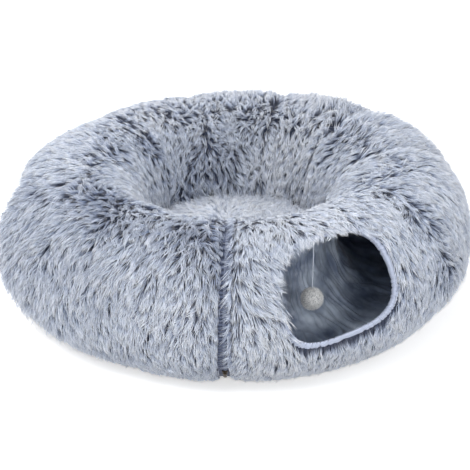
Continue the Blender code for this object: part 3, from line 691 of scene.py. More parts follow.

# %% [markdown]
# ## Ruffled places
#
# Handling and folding ruffle long pile in patches: the locks stand up there, point away from
# the patch's middle and show their dark roots. Most patches lie on the crest, in the creases and
# on the wall of the bowl. Short tables give their places, as the picture shows them, then those
# where the pile lies smooth over the crest, and those where painted light and shade make the
# pile's colour lighter or darker.

# %% Ruffled places
RUFFLED = (
    # ring angle, section angle, spread along the ring, spread round the tube, strength
    (-164, 96, 10, 12, 1.00),
    (-158, 82, 7, 9, 0.60),
    (-150, 68, 5, 7, 0.45),
    (-162, 39, 3, 5, 0.35),
    (176, 65, 6, 9, 0.45),
    (121, 126, 6, 12, 0.85),
    (150, 158, 12, 14, 0.25),
    (100, 150, 22, 16, 0.30),
    (24, 150, 14, 16, 0.15),
    (90, 80, 9, 7, 0.50),
    (-131, 88, 8, 10, 0.40),
    (92, 102, 8, 8, 0.60),
    (74, 103, 8, 6, 0.30),
    (78, 156, 15, 24, 0.90),
    (104, 176, 8, 9, 0.80),
    (54, 122, 9, 18, 0.70),
    (46, 182, 10, 8, 0.50),
    (4, 138, 5, 14, 0.60),
    (16, 96, 6, 7, 0.45),
    (6, 80, 4, 6, 0.40),
    (-55, 95, 4, 7, 0.70),
    (-57, 60, 4, 14, 0.80),
    (-58, 15, 4, 12, 0.80),
    (-121, 70, 6, 15, 0.75),
)
SMOOTH = (
    # ring angle and spread of the places where the pile lies smooth over the crest, strength
    (-90, 22, 1.0),
    (34, 12, 0.8),
    (-14, 10, 0.6),
)
# Painted light and shade: places where the pile's colour is made lighter or darker for how the light
# falls on it.
PAINTED_LIGHT_AND_SHADE = (
    # ring angle, section angle, spread along the ring, spread round the tube, lighter by
    (-106, -12, 8, 30, 0.22),
    (92, 92, 42, 14, 0.46),
    (98, 176, 30, 13, -0.20),
    (95, 150, 45, 26, -0.07),
    (28, 160, 22, 28, 0.42),
    (28, 72, 24, 22, 0.08),
    (-30, 62, 10, 20, 0.08),
    (-164, 96, 14, 14, -0.16),
    (-172, 52, 14, 16, -0.08),
    (145, 166, 16, 14, 0.12),
    (92, 76, 14, 8, -0.35),
    (132, 106, 16, 14, -0.20),
    (-132, 85, 10, 16, -0.22),
    (-103, 44, 5, 20, -0.22),
)


def ruffle(ring, section):
    """How far the pile stands up, from 0 to 1, and the way out of its patch, along and round."""
    strength, along, around = 0 * ring, 0 * ring, 0 * ring
    for patch in RUFFLED:
        near, a, b = near_place(ring, section, patch)
        near = patch[4] * near
        strength, along, around = strength + near, along + near * a, around + near * b
    return np.minimum(strength, 1), along, around


def calm(ring):
    """1 where the pile lies smooth over the crest too, as above the front entrance."""
    share = 0 * ring
    for at_ring, wide, strength in SMOOTH:
        share = share + strength * hill(bend(ring, math.radians(at_ring)), math.radians(wide))
    return share


print("ruffled patches:", len(RUFFLED))

# %% [markdown]
# ## Where the locks grow
#
# Locks sit on a jittered grid, which keeps them even without rows. The grid is wider under the
# tube, where the pile is pressed thin and nobody looks, and no lock starts inside an entrance.

# %% Roots of the locks
LOCK_SPACING = 0.0080
STRANDS_PER_LOCK = 8
UNDERSIDE = (math.radians(236), math.radians(306))
THINNING = 1.9  # how much wider the grid is there
ROW_JITTER = 0.45
BARE_BY_ZIP = 0.0125
BARE_ON_RIGHT = 0.0075  # most locks right of the zip stand closer to it
random = np.random.default_rng(11)


def root_grid(low, high, spacing):
    """Jittered places over one panel, as ring and section angles."""
    rows = round(math.tau * PLUSH_RADIUS / spacing)
    rings, sections = [], []
    for row in range(rows):
        angle = math.tau * (row + 0.5) / rows
        thin = THINNING if UNDERSIDE[0] < angle < UNDERSIDE[1] else 1.0
        if thin > 1 and row % 2:
            continue
        arc = (high - low) * (RING_RADIUS + PLUSH_RADIUS * math.cos(angle))
        count = max(2, round(arc / spacing / thin))
        share = (np.arange(count) + random.uniform(0.1, 0.9, count)) / count
        rings.append(low + (high - low) * share)
        sections.append(angle + random.uniform(-ROW_JITTER, ROW_JITTER, count) * math.tau / rows)
    return np.concatenate(rings), np.concatenate(sections)


def drop_roots(ring, section):
    """Take out the roots that would stand in an entrance or on the zip's flange."""
    points = tube_point(ring, section, pile_radius(ring, section))
    distance = zip_distance(ring, section, FLANGE_OUTER)
    close = (random.uniform(0, 1, len(ring)) < 0.8) & (np.sin(ring - ZIP_ANGLE) > 0)
    keep = distance > np.where(close, BARE_ON_RIGHT, BARE_BY_ZIP)
    for entrance in ENTRANCES:
        x, y, measure = in_entrance(points, entrance)
        bare = np.clip(np.maximum(x / HALF_WIDTH, -y / HALF_HEIGHT), 0, 1)
        keep &= measure > 1.0 + 0.05 * bare
    return ring[keep], section[keep]


print("locks on panel 3:", len(root_grid(seams[2], seams[3], LOCK_SPACING)[0]))

# %% [markdown]
# ## Combing
#
# A lock's heading is an angle from the way down the tube. A few slow waves bend it, as a hand
# that strokes the pile would, and beside a seam the locks lean away from it, so that the dark
# roots show in the crease.

# %% Parting and loft
PARTING = math.radians(104)
PARTING_SPREAD = math.radians(9)
CALM_PARTING = np.radians(24)  # how much further in it lies where the pile is smooth
CREST = math.radians(95)
CREST_SPREAD = math.radians(36)
CREST_LOFT = 0.006  # how much higher the pile stands on the crest at the back
LOFTS = (
    # ring angle, section angle, spreads, how much further the pile stands off there
    (196, -24, 16, 16, 0.011),
    (-50, -18, 12, 16, 0.008),
    (150, 60, 10, 14, 0.004),
)
OPEN_ABOVE = math.radians(58)  # section angle from which creases stay open
ZIP_VALLEY = 0.022  # half width of the valley in the pile along the zip


def parting(ring):
    """Section angle of the crest's parting, which wanders along the ring."""
    wander = np.radians(9) * np.sin(5 * ring + 1) + np.radians(5) * np.sin(13 * ring)
    return PARTING + wander + CALM_PARTING * calm(ring)


def open_seam(ring, section):
    """How far a crease stays open: 1 on the crest and in the bowl, less on the outer side."""
    outer = 0.25 + 0.45 * hill(bend(ring, DRIFT_ANGLE), DRIFT_SPREAD)
    above = from_underside(section) - OPEN_ABOVE
    return outer + (1 - outer) / (1 + np.exp(-above / math.radians(9)))


def full_radius(ring, section):
    """Tube radius that the tips reach: the pile's surface, with the creases partly filled."""
    loft = CREST_LOFT * hill(bend(section, CREST), CREST_SPREAD)
    full = cover_radius(ring, section) + loft * (0.45 + 0.55 * np.sin(ring))
    full = add_places(full, ring, section, LOFTS)
    fill = 0.80 - 0.42 * open_seam(ring, section)
    near = hill(zip_distance(ring, section, PLUSH_RADIUS), ZIP_VALLEY)
    surface = pile_radius(ring, section)
    return surface + fill * (1 - 0.7 * near) * (full - surface)


print("parting near", round(math.degrees(float(parting(0.0)))))

# %% Combing
SEAM_LEAN = math.radians(18)
SEAM_REACH = 0.10  # how far from a seam locks lean away from it, as a share of the panel
ZIP_LEAN = math.radians(30)
ZIP_REACH = 0.030
ENTRANCE_LEAN = math.radians(34)  # how far the locks left of the front entrance lean over it
WHORL = 1.2  # how strongly the locks of a ruffled patch point away from its middle


def swirl(ring, section):
    """Slow waves in the combing, in radians."""
    a = np.sin(7 * ring + 3 * section + 0.7) + 0.8 * np.sin(15 * ring - 5 * section + 2.1)
    b = np.sin(26 * ring + 9 * section) * np.sin(11 * section - 9 * ring + 1.3)
    return 0.18 * a + 0.18 * b


def beside_entrance(ring, section):
    """1 at the left edge of the front entrance, and less further away from it."""
    points = tube_point(ring, section, pile_radius(ring, section))
    x, y, measure = in_entrance(points, "front")
    left = np.clip(-x / HALF_WIDTH - 0.35, 0, 0.5) / 0.5
    left = left * np.clip(y / HALF_HEIGHT + 0.70, 0, 0.4) / 0.4
    return left * hill(np.minimum(measure, 3) - 1, 0.42)


def comb(ring, section):
    """Heading of locks: its angle from growing section angles towards growing ring angles."""
    past = from_underside(section) - parting(ring)
    past = past + random.normal(0, PARTING_SPREAD, np.shape(ring))
    share = seam_share(drifted(ring, section))
    side = np.where(share < 0.5, 1.0, -1.0)
    edge = side * hill(np.minimum(share, 1 - share), SEAM_REACH) * open_seam(ring, section)
    near = hill(zip_distance(ring, section, PLUSH_RADIUS), ZIP_REACH)
    turn = swirl(ring, section) + SEAM_LEAN * edge * (1 - near) - ZIP_LEAN * side * near
    turn = turn + ENTRANCE_LEAN * beside_entrance(ring, section)
    away_along, away_around = ruffle(ring, section)[1:]
    around = np.where(past > 0, 1.0, -1.0) * np.cos(turn) + WHORL * away_around
    return np.arctan2(np.sin(turn) + WHORL * away_along, around)


print("locks lean over the front entrance by", round(math.degrees(ENTRANCE_LEAN)), "degrees")

# %% [markdown]
# ## Strand paths
#
# Each strand starts at the roots, rises to its own layer of the pile and lies along the comb.
# Its four points are walked in ring and section angles, so it hugs the tube however it bends.
# Strands of a lock start side by side and end close together.

# %% Lengths of the locks
STRAND_LENGTH = 0.039
UNDER_TUBE = math.radians(272)
UNDER_SPREAD = math.radians(52)
PRESSED = math.radians(226)
PRESSED_SPREAD = math.radians(24)
CREST_BAND = 0.24  # radians on each side of the parting
SHORT_BY_ZIP = (0.004, 0.014)  # distance where short strands start, and how far they grow


def lock_lengths(ring, section):
    """Length of the locks: short underneath and where the cushion presses on the inner side."""
    around = section % math.tau
    low = np.minimum(np.abs(around - UNDER_TUBE) / UNDER_SPREAD, 1)
    pressed = hill(around - PRESSED, PRESSED_SPREAD)
    return STRAND_LENGTH * (0.38 + 0.62 * low ** 2) * (1 - 0.35 * pressed)


def on_crest(ring, section, band):
    """1 on the parting and less beside it."""
    return hill(from_underside(section) - parting(ring), band)


print("strand length", STRAND_LENGTH)

# %% Paths
STEPS = np.array([0, 1 / 3, 2 / 3, 1])
RISE = np.array([-0.12, 0.62, 1.0, 0.96])
CLUMP = np.array([1.0, 0.9, 0.6, 0.25])
LOCK_RADIUS = 0.0052
WAVE = 0.0008
THINNEST_PILE = 0.003
HALF_WIDTH_RANGE = (0.00045, 0.00090)
STRAYS = 0.12  # share of strands that stand out of the pile's surface


def pile_paths(ring, section):
    """Ring angles, section angles and tube radii of the four points of these locks' strands."""
    count = len(ring)
    size = (count, STRANDS_PER_LOCK)
    crest = on_crest(ring, section, CREST_BAND) * (1 - 0.8 * calm(ring))
    stand = ruffle(ring, section)[0] * random.uniform(0.5, 1, count)
    noise = 0.11 + 0.32 * crest + 0.55 * stand
    heading = comb(ring, section) + random.normal(0, 1, count) * noise
    length = lock_lengths(ring, section) * random.uniform(0.75, 1.2, count)
    length = length * (1 - 0.45 * stand - 0.15 * crest)
    distance = zip_distance(ring, section, FLANGE_OUTER)
    length = length * np.clip((distance - SHORT_BY_ZIP[0]) / SHORT_BY_ZIP[1], 0.4, 1)
    curl = random.normal(0, 0.18, count)
    offset_turn = random.uniform(0, math.tau, size)
    offset = LOCK_RADIUS * np.sqrt(random.uniform(0, 1, size))
    strand = length[:, None] * random.uniform(0.72, 1.12, size)
    strand_heading = heading[:, None] + random.normal(0, 0.08, size)
    layer = random.uniform(0.62, 1.12, count)[:, None] * random.uniform(0.85, 1.12, size)
    layer = layer + (0.25 * crest * random.uniform(-1, 1, count) + 0.15 * stand)[:, None]
    stray = (random.uniform(0, 1, size) < STRAYS) * random.uniform(0.15, 0.7, size)
    lift = random.normal(0, 0.16, size) + stray + (0.30 * stand)[:, None]
    clump = CLUMP * (1 - 0.35 * stand[:, None])
    wave = random.normal(0, WAVE, size + (2,))
    reach = RING_RADIUS + PLUSH_RADIUS * np.cos(section)[:, None]
    rings, sections, radii = [], [], []
    for i, step in enumerate(STEPS):
        turn = strand_heading + curl[:, None] * step
        around = np.cos(turn) * strand * step
        along = np.sin(turn) * strand * step
        drawn = offset * clump[:, i:i + 1]
        around = around + drawn * np.sin(offset_turn) + (wave[..., 0] if i == 2 else 0)
        along = along + drawn * np.cos(offset_turn) + (wave[..., 1] if i == 2 else 0)
        at_ring = ring[:, None] + along / reach
        at_section = section[:, None] + around / PLUSH_RADIUS
        root, full = root_radius(at_ring, at_section), full_radius(at_ring, at_section)
        depth = np.maximum(full - root, THINNEST_PILE)
        share = RISE[i] * np.where(i == 0, 1, layer) + (lift * step if i else 0)
        rings.append(at_ring)
        sections.append(at_section)
        radii.append(root + depth * share)
    return [np.stack(points, -1).reshape(-1, len(STEPS)) for points in (rings, sections, radii)]


print("lock radius", LOCK_RADIUS)

# %% [markdown]
# ## Pile at the openings
#
# Above an entrance the locks hang over its binding in spikes, and elsewhere the edge stays
# nearly clear. So a strand that would reach further into the opening is shortened until it
# doesn't. Beside the zip the strands lean over the bare flange but leave the slider its track,
# and on the left they leave a dark gap beside it. A few wisps lie across the zip, higher up.

# %% Trim at the entrances
OVERHANG_TOP = 0.70  # outline measure that tips may reach above an entrance
OVERHANG_SIDE = 0.74
OVERHANG_BELOW = 0.92
TRIMS = 12
KEPT_PER_TRIM = 0.85


def overhang_limit(x, y):
    """The outline measure that a strand's tip may reach, by where it crosses the edge."""
    top = np.clip(y / HALF_HEIGHT, 0, 1) ** 0.7
    left = np.clip(-x / HALF_WIDTH, 0, 1) * np.clip(y / HALF_HEIGHT + 0.8, 0, 0.3) / 0.3
    low = OVERHANG_BELOW + (OVERHANG_SIDE - OVERHANG_BELOW) * left
    return low + (OVERHANG_TOP - low) * top * (0.55 + 0.45 * left)


def trim_at_entrances(points):
    """Shorten the strands that reach too far over an opening."""
    for entrance in ENTRANCES:
        ragged = 0.8 * random.uniform(0, 1, (len(points), 1)) ** 1.5
        for _ in range(TRIMS):
            x, y, measure = in_entrance(points[:, 1:], entrance)
            limit = overhang_limit(x, y)
            over = (measure < limit + ragged * (1 - limit)).any(1)
            root = points[over, :1]
            points[over] = root + KEPT_PER_TRIM * (points[over] - root)
    return points


print("tips beside an entrance may reach", OVERHANG_SIDE)

# %% Keep the slider's track clear
SLIDER_TRACK = 0.0056
SLIDER_AT = math.radians(-35)
AT_SLIDER = 0.003  # how much wider the track is round the slider at rest
RAGGED_EDGE = 0.010
LEFT_GAP = 0.0055  # how much further the strands left of the zip stay away from it
OPEN_TO = math.radians(40)  # section angle up to which they do
SOFT_END = 0.12  # radians over which both change
PILE_BOTTOM = FLOOR_CLEARANCE + 0.0004
PILE_TOP = 0.3005


def clear_zip(points, ring, section):
    """Bend strands along the zip where they would lie in the slider's track."""
    at_slider = hill(bend(section, SLIDER_AT), SOFT_END)
    root = ring[:, :1]
    left = (np.sin(root - ZIP_ANGLE) < 0) / (1 + np.exp(bend(section, OPEN_TO) / SOFT_END))
    ragged = RAGGED_EDGE * random.uniform(0, 1, (len(points), 1)) ** 2
    left = left * 1.25 * random.uniform(0, 1, (len(points), 1)) ** 0.4
    clear = SLIDER_TRACK + ragged + AT_SLIDER * at_slider + LEFT_GAP * left
    points = off_zip(points, root, clear)
    points[..., 2] = np.clip(points[..., 2], PILE_BOTTOM, PILE_TOP)
    return points


print("slider track half width", SLIDER_TRACK)

# %% Wisps over the zip
WISP_LOCKS = 85
WISPS_PER_LOCK = 4
WISP_SPAN = (math.radians(-18), math.radians(128))
WISP_LOW = math.radians(-24)  # the tab turns up to here
WISP_OFFSETS = (0.0115, 0.0085, 0.0030, -0.0070)  # from the zip's plane, right side positive
WISP_HEIGHTS = (0.0002, 0.0072, 0.0094, 0.0084)  # above the flange
WISP_UNEVEN = 0.0012
WISP_BEGIN = (-0.002, 0.003)


def zip_wisps(count):
    """Strands from the right of the zip that lie across it, higher than the slider."""
    low, high = WISP_SPAN
    lock = random.uniform(low, high, count)
    section = lock + random.normal(0, 0.014, (WISPS_PER_LOCK, count))
    fall = random.uniform(-0.24, -0.02, count) + random.normal(0, 0.03, section.shape)
    reach_over = random.uniform(0.25, 1.15, count) + random.normal(0, 0.12, section.shape)
    begin = WISP_OFFSETS[0] + random.uniform(*WISP_BEGIN, section.shape)
    points = []
    for share, offset, height in zip(STEPS, WISP_OFFSETS, WISP_HEIGHTS):
        at = np.maximum(section + fall * share ** 1.4, WISP_LOW)
        side = begin + reach_over * (offset - WISP_OFFSETS[0])
        uneven = WISP_UNEVEN * random.uniform(0, 1, section.shape) * (share > 0)
        radius = FLANGE_OUTER + height + uneven
        reach = RING_RADIUS + radius * np.cos(at)
        ring = ZIP_ANGLE + np.arcsin(side / reach)
        points.append(tube_point(ring, at, radius).reshape(-1, 3))
    points = np.stack(points, 1)
    points[..., 2] = np.maximum(points[..., 2], PILE_BOTTOM)
    up = out_of_tube(np.full(section.size, ZIP_ANGLE), section.ravel())
    width = random.uniform(*HALF_WIDTH_RANGE, section.size)
    # The wisps are darker than the rest of the pile: painted shade of the zip's valley.
    light = 0.22 + random.normal(0, 0.15, count) + random.normal(0, 0.12, section.shape)
    return strand_mesh("zip_wisps", points, up, width, light.ravel())


print("strands across the zip:", WISP_LOCKS * WISPS_PER_LOCK)

# %% Shades of the locks
BOWL_WALL = math.radians(170)
BOWL_SPREAD = 0.7
PALE_CREST = 0.30  # radians on each side of the parting
ZIP_SHADE = 0.035


def shades(ring, section, count):
    """How light each lock is, from 0 to 1, with painted light and shade: darker in the zip's valley,
    lighter on the bowl's wall, and darker in ruffled patches.
    """
    crest = on_crest(ring, section, PALE_CREST)
    bowl = hill(from_underside(section) - BOWL_WALL, BOWL_SPREAD)
    near = hill(zip_distance(ring, section, PLUSH_RADIUS), ZIP_SHADE)
    patch = np.sin(9 * ring + 4 * section) * np.sin(14 * section - 6 * ring + 0.6)
    # Painted shade in the zip's valley, deepest on its left where the tall pile shades the flange;
    # painted light on the bowl's wall, which lies in less light.
    near = near * np.where(np.sin(ring - ZIP_ANGLE) > 0, 0.12, 0.30)
    base = 0.58 - 0.04 * crest + 0.16 * bowl + 0.10 * patch - near
    painted_light = add_places(0 * ring, ring, section, PAINTED_LIGHT_AND_SHADE)
    # Ruffled patches are darker for their dark roots and for painted shade between the standing
    # locks.
    base = base + 0.14 * calm(ring) - 0.38 * ruffle(ring, section)[0] + painted_light
    lock = base + random.normal(0, 0.14, len(ring))
    return lock[:, None] + random.normal(0, 0.10, (len(ring), count))


print("places lighter or darker:", len(PAINTED_LIGHT_AND_SHADE))

# %% Grow the pile
PARTS_OF_PANEL = (4, 2, 2, 2, 2, 2, 4, 2, 2)  # so that no piece is too large to export whole

pile, on_panel = [], {index: [] for index in panels}
for index in panels:
    parts = PARTS_OF_PANEL[index]
    edges = np.linspace(seams[index], seams[index + 1], parts + 1)
    for part in range(parts):
        ring, section = root_grid(edges[part], edges[part + 1], LOCK_SPACING)
        ring, section = drop_roots(ring, section)
        rings, sections, radii = pile_paths(ring, section)
        points = clear_zip(tube_point(rings, sections, radii), rings, sections)
        points = trim_at_entrances(points)
        up = out_of_tube(rings[:, 1], sections[:, 1])
        width = random.uniform(*HALF_WIDTH_RANGE, len(points))
        light = shades(ring, section, STRANDS_PER_LOCK).ravel()
        name = f"panel_{index + 1}_pile_{'abcd'[part]}"
        piece = strand_mesh(name, points, up, width, light)
        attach(piece, "tunnel")
        pile.append(piece)
        on_panel[index].append(piece)
wisps = zip_wisps(WISP_LOCKS)
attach(wisps, "tunnel")
pile.append(wisps)
on_panel[0].append(wisps)
print("pile pieces:", len(pile), "triangles:", sum(len(p.data.polygons) for p in pile))
print("largest piece:", max(len(p.data.polygons) for p in pile))

# %% Count the backing shells
print("sheets:", len(backing))

# %% [markdown]
# ## Finish of the pile
#
# Acrylic fibre, dyed dark and bleached at the tips. A ramp takes the root-to-tip coordinate from
# navy through blue-grey to near white, and a second one tints it by the lock's shade. The
# fibres are rough as a mass, with a faint sheen at grazing angles.


# %% Pile finish
def colour_strands(finish, along, across):
    """Colour strands by one ramp from root to tip and by another one across their shades."""
    strand_uv = add_node(finish, "ShaderNodeUVMap", uv_map="OFBake")
    split = add_node(finish, "ShaderNodeSeparateXYZ", [("Vector", strand_uv.outputs["UV"])])
    ramp = add_node(finish, "ShaderNodeValToRGB", [("Fac", split.outputs["Y"])], stops=along)
    tint = add_node(finish, "ShaderNodeValToRGB", [("Fac", split.outputs["X"])], stops=across)
    coloured = add_node(finish, "ShaderNodeMix",
                        [(0, 1.0), (6, ramp.outputs["Color"]), (7, tint.outputs["Color"])],
                        data_type="RGBA", blend_type="MULTIPLY")
    to_shader(finish, "Base Color", coloured.outputs[2])


pile_finish = new_finish("tipped acrylic pile",
                         {"Roughness": 0.72, "Specular IOR Level": 0.25, "Sheen Weight": 0.5,
                          "Sheen Roughness": 0.5})
colour_strands(pile_finish,
               along=[(0.0, "#20263a"), (1.0, "#ffffff"), (0.24, "#4a546d"), (0.44, "#b9c2d3"),
                      (0.64, "#eff2f7")],
               across=[(0.0, "#9ca7bd"), (1.0, "#fbfcff"), (0.5, "#eaeff8")])
for piece in pile:
    give_finish(piece, pile_finish)
print("finish:", pile_finish.name)

# %% [markdown]
# ## Lining
#
# The cat walks on a shiny polyester lining, cut a little too long, so that it gathers in pleats
# between the spring's turns and lies smooth at the turns, the zip and the entrances. A cloth
# simulation of the whole tube would be slow, and its folds would be random. Here the pleats run
# round the tube as waves of its radius, in three sizes, and lean over as gathered cloth does.

# %% Pleats
PLEAT_DEPTH = 0.013
FINE_TO = math.radians(-30)  # fine pleats are laid from the zip to here, where they can be seen


def pleats(ring, section):
    """How far the lining stands in from the spring, in shares of the pleat's depth."""
    slant = ring + 0.12 * np.sin(2 * section + 1) + 0.05 * np.sin(5 * section + 8 * ring)
    slant = slant + 0.018 * np.sin(11 * section - 19 * ring)
    seen = 1 / (1 + np.exp((ring - FINE_TO + 0.05) / 0.012))
    broad = (0.5 + 0.5 * np.sin(31 * slant + 0.4)) ** 1.5
    fine = (0.5 + 0.5 * np.sin(88 * slant + 1.6 * np.sin(3 * section))) ** 1.6
    finest = (0.5 + 0.5 * np.sin(173 * slant + 3 * np.sin(2 * section + 13 * ring))) ** 1.3
    uneven = 0.65 + 0.35 * np.sin(6 * section + 17 * ring)
    return 0.55 * broad * uneven + seen * (0.30 * fine + 0.15 * finest)


print("pleat depth:", PLEAT_DEPTH)

# %% Make the lining
LINING_END = 0.002  # radians short of the zip's plane
FINE_CUTS = 291
BROAD_CUTS = 176
LINING_SECTION_STEPS = 96
HELD_BY_ZIP = 0.016
SLACK_AFTER = 0.03  # from a held edge to where the pleats are full

ring = np.concatenate([np.linspace(ZIP_ANGLE + LINING_END, FINE_TO, FINE_CUTS),
                       np.linspace(FINE_TO, ZIP_END - LINING_END, BROAD_CUTS)[1:]])
section = np.linspace(0, math.tau, LINING_SECTION_STEPS, endpoint=False)
ring, around = np.meshgrid(ring, section, indexing="ij")
share = seam_share(ring)
hold = (4 * share * (1 - share)) ** 0.7
from_zip = zip_distance(ring, around, LINING_OUTER)
hold = hold * np.clip((from_zip - HELD_BY_ZIP) / SLACK_AFTER, 0, 1)
spots = tube_point(ring, around, LINING_OUTER + 0 * ring)
for entrance in ENTRANCES:
    hold = hold * np.clip((in_entrance(spots, entrance)[2] - 1.06) / 0.30, 0, 1)
drawn_in = PLEAT_DEPTH * hold * pleats(ring, around)
outer = off_zip(tube_point(ring, around, LINING_OUTER - drawn_in), ring, CLOTH_END)
inner_radius = LINING_OUTER - LINING_THICKNESS - drawn_in
inner = off_zip(tube_point(ring, around, inner_radius), ring, CLOTH_END)
lining = shell("tube_lining", outer, inner)
for entrance in ENTRANCES:
    cut_entrance(lining, entrance)
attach(lining, "tunnel")
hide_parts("lining")
print("lining faces:", len(lining.data.polygons))

# %% [markdown]
# ## Finish of the lining
#
# Polyester taffeta: a tight plain weave of filament yarn, calendered smooth, so it shines along
# its folds. Its threads are 0.2 mm apart, far too fine for the picture, so the weave is drawn
# at 1.2 mm as a faint bump, and broad cloud-like changes of tone, pale to dark, are the painted
# sheen and shade of crushed cloth.

# %% Lining finish
lining_finish = new_finish("polyester taffeta", {"Roughness": 0.38, "Specular IOR Level": 0.6,
                                                 "Sheen Weight": 0.3, "Sheen Roughness": 0.4})
# Broad clouds of lighter and darker tone: painted sheen and shade of crushed cloth.
lay_pattern(lining_finish, "ShaderNodeTexNoise", [("Scale", 1 / 0.045), ("Detail", 4.0)],
            [(0.36, "#7e8aa1"), (0.64, "#c8d3e1")])
place = add_node(lining_finish, "ShaderNodeTexCoord")
weave = add_node(lining_finish, "ShaderNodeTexNoise",
                 [("Vector", place.outputs["Object"]), ("Scale", 1 / 0.0012), ("Detail", 1.0)])
bump = add_node(lining_finish, "ShaderNodeBump",
                [("Height", weave.outputs["Fac"]), ("Strength", 0.25), ("Distance", 0.0004)])
to_shader(lining_finish, "Normal", bump.outputs["Normal"])
give_finish(lining, lining_finish)
print("finish:", lining_finish.name)

# %% [markdown]
# ## Bindings
#
# A lavender bias tape is folded round the raw edge of each entrance and sewn through. Tape that
# follows a curve puckers between its stitches. The loop is swept along the outline: a rounded
# section at each outline point, squeezed at every stitch.

# %% Make the bindings
BINDING_LOW = 0.12055
BINDING_HIGH = 0.1360
BINDING_INSET = -0.0046
BINDING_THICKNESS = 0.0106
BINDING_POINTS = 432
BINDING_SECTION = 16
BINDING_WOBBLE = 0.0007
PUCKER_SPACING = 0.0075
GIRTH_SHARE = 0.795  # of its box's girth, an opening's own


def loop_mesh(name, grid):
    """A ring-shaped mesh from a grid that closes both ways."""
    rows, columns = grid.shape[:2]
    faces = []
    for i in range(rows):
        for j in range(columns):
            a, b = i * columns + j, i * columns + (j + 1) % columns
            k = (i + 1) % rows * columns
            faces.append((a, k + j, k + (j + 1) % columns, b))
    return new_mesh(name, grid.reshape(-1, 3), faces)


def make_binding(entrance):
    """The tape round an entrance: a rounded section swept along the outline."""
    turn = np.linspace(0, math.tau, BINDING_SECTION, endpoint=False)
    round_x = np.copysign(np.abs(np.cos(turn)) ** 0.7, np.cos(turn))
    round_y = np.copysign(np.abs(np.sin(turn)) ** 0.6, np.sin(turn))
    girth = GIRTH_SHARE * 4 * (HALF_WIDTH + HALF_HEIGHT)
    puckers = round(girth / PUCKER_SPACING)
    step = np.linspace(0, math.tau * puckers, BINDING_POINTS, endpoint=False)
    squeeze = 1 - 0.16 * (0.5 + 0.5 * np.cos(step)) - 0.08 * np.sin(0.37 * step) ** 2
    middle = (BINDING_LOW + BINDING_HIGH) / 2
    half_height = (BINDING_HIGH - BINDING_LOW) / 2
    grid = []
    for across, up in zip(round_x, round_y):
        inset = BINDING_INSET + BINDING_THICKNESS / 2 * (1 + across * squeeze)
        x, y = outline(inset, BINDING_POINTS)
        wobble = BINDING_WOBBLE * np.sin(0.5 * step + 1)
        grid.append(pierce(entrance, x, y, middle + half_height * up * squeeze + wobble))
    return loop_mesh(f"{entrance}_binding_tape", np.stack(grid, 1))


bindings = []
for entrance in ENTRANCES:
    piece = make_binding(entrance)
    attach(piece, "tunnel")
    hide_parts(f"{entrance}_entrance_binding")
    bindings.append(piece)
print("bindings:", len(bindings))

# %% [markdown]
# ## Finish of the bindings
#
# Woven polyester bias tape, pale lavender and softly shiny. Its fine diagonal ribs are drawn
# 1.5 mm apart, wide enough to show as a slight shimmer.


# %% Binding finish
def wave_scale(spacing):
    """Scale of a wave pattern whose bands lie this far apart."""
    return math.tau / 20 / spacing


tape_finish = new_finish("woven bias tape", {"Roughness": 0.65, "Specular IOR Level": 0.25,
                                             "Sheen Weight": 0.15, "Sheen Roughness": 0.4})
lay_pattern(tape_finish, "ShaderNodeTexWave",
            [("Scale", wave_scale(0.0015)), ("Distortion", 1.5)],
            [(0.2, "#9ea6bb"), (0.8, "#b4bccf")], bump=(0.3, 0.0004),
            bands_direction="DIAGONAL")
for piece in bindings:
    give_finish(piece, tape_finish)
print("finish:", tape_finish.name)

# %% [markdown]
# ## Pompom
#
# A ball of cut wool yarn, tied in its middle and trimmed round. A plain sphere would look hard,
# so a small bumpy core carries some hundreds of short fibres that end near the ball's surface.

# %% The pompom's core
POMPOM_CENTRE = np.array([-0.01241, -0.35149, 0.14388])
POMPOM_RADIUS = 0.020
POMPOM_CORE = 0.0165

bm = bmesh.new()
bmesh.ops.create_icosphere(bm, subdivisions=4, radius=1)
for vert in bm.verts:
    x, y, z = vert.co
    uneven = 1 + 0.05 * math.sin(9 * x + 4 * z) * math.sin(8 * y - 5 * x + 1)
    vert.co = Vector(POMPOM_CENTRE) + POMPOM_CORE * uneven * vert.co
mesh = bpy.data.meshes.new("pompom_core")
bm.to_mesh(mesh)
bm.free()
mesh.shade_smooth()
pompom_core = link(bpy.data.objects.new("pompom_core", mesh))
print("core faces:", len(mesh.polygons))

# %% The pompom's fibres
POMPOM_FIBRES = 2600
FIBRE_START = POMPOM_CORE * 0.9
FIBRE_BENDS = (0, 0.05, 0.16, 0.30)
FIBRE_HALF_WIDTHS = (0.0004, 0.0007)


def even_directions(count):
    """Directions spread evenly over a sphere."""
    i = np.arange(count) + 0.5
    height = 1 - 2 * i / count
    turn = math.pi * (1 + 5 ** 0.5) * i
    flat_part = np.sqrt(1 - height ** 2)
    return np.stack([flat_part * np.cos(turn), flat_part * np.sin(turn), height], -1)


def unit(vectors):
    """The vectors at length 1."""
    return vectors / np.linalg.norm(vectors, axis=1, keepdims=True)


aim = unit(even_directions(POMPOM_FIBRES) + random.normal(0, 0.05, (POMPOM_FIBRES, 3)))
lean = unit(np.cross(aim, random.normal(0, 1, (POMPOM_FIBRES, 3))))
reach = POMPOM_RADIUS * random.uniform(0.88, 1.10, POMPOM_FIBRES)
fibre = []
for step, droop in zip(STEPS, FIBRE_BENDS):
    radius = FIBRE_START + (reach - FIBRE_START) * step
    fibre.append(POMPOM_CENTRE + radius[:, None] * unit(aim + droop * lean))
pompom_fibres = strand_mesh("pompom_wool", np.stack(fibre, 1), lean,
                            random.uniform(*FIBRE_HALF_WIDTHS, POMPOM_FIBRES),
                            random.normal(0.55, 0.22, POMPOM_FIBRES))
for piece in (pompom_core, pompom_fibres):
    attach(piece, "toy")
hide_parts("toy_pompom")
print("pompom fibres:", POMPOM_FIBRES)

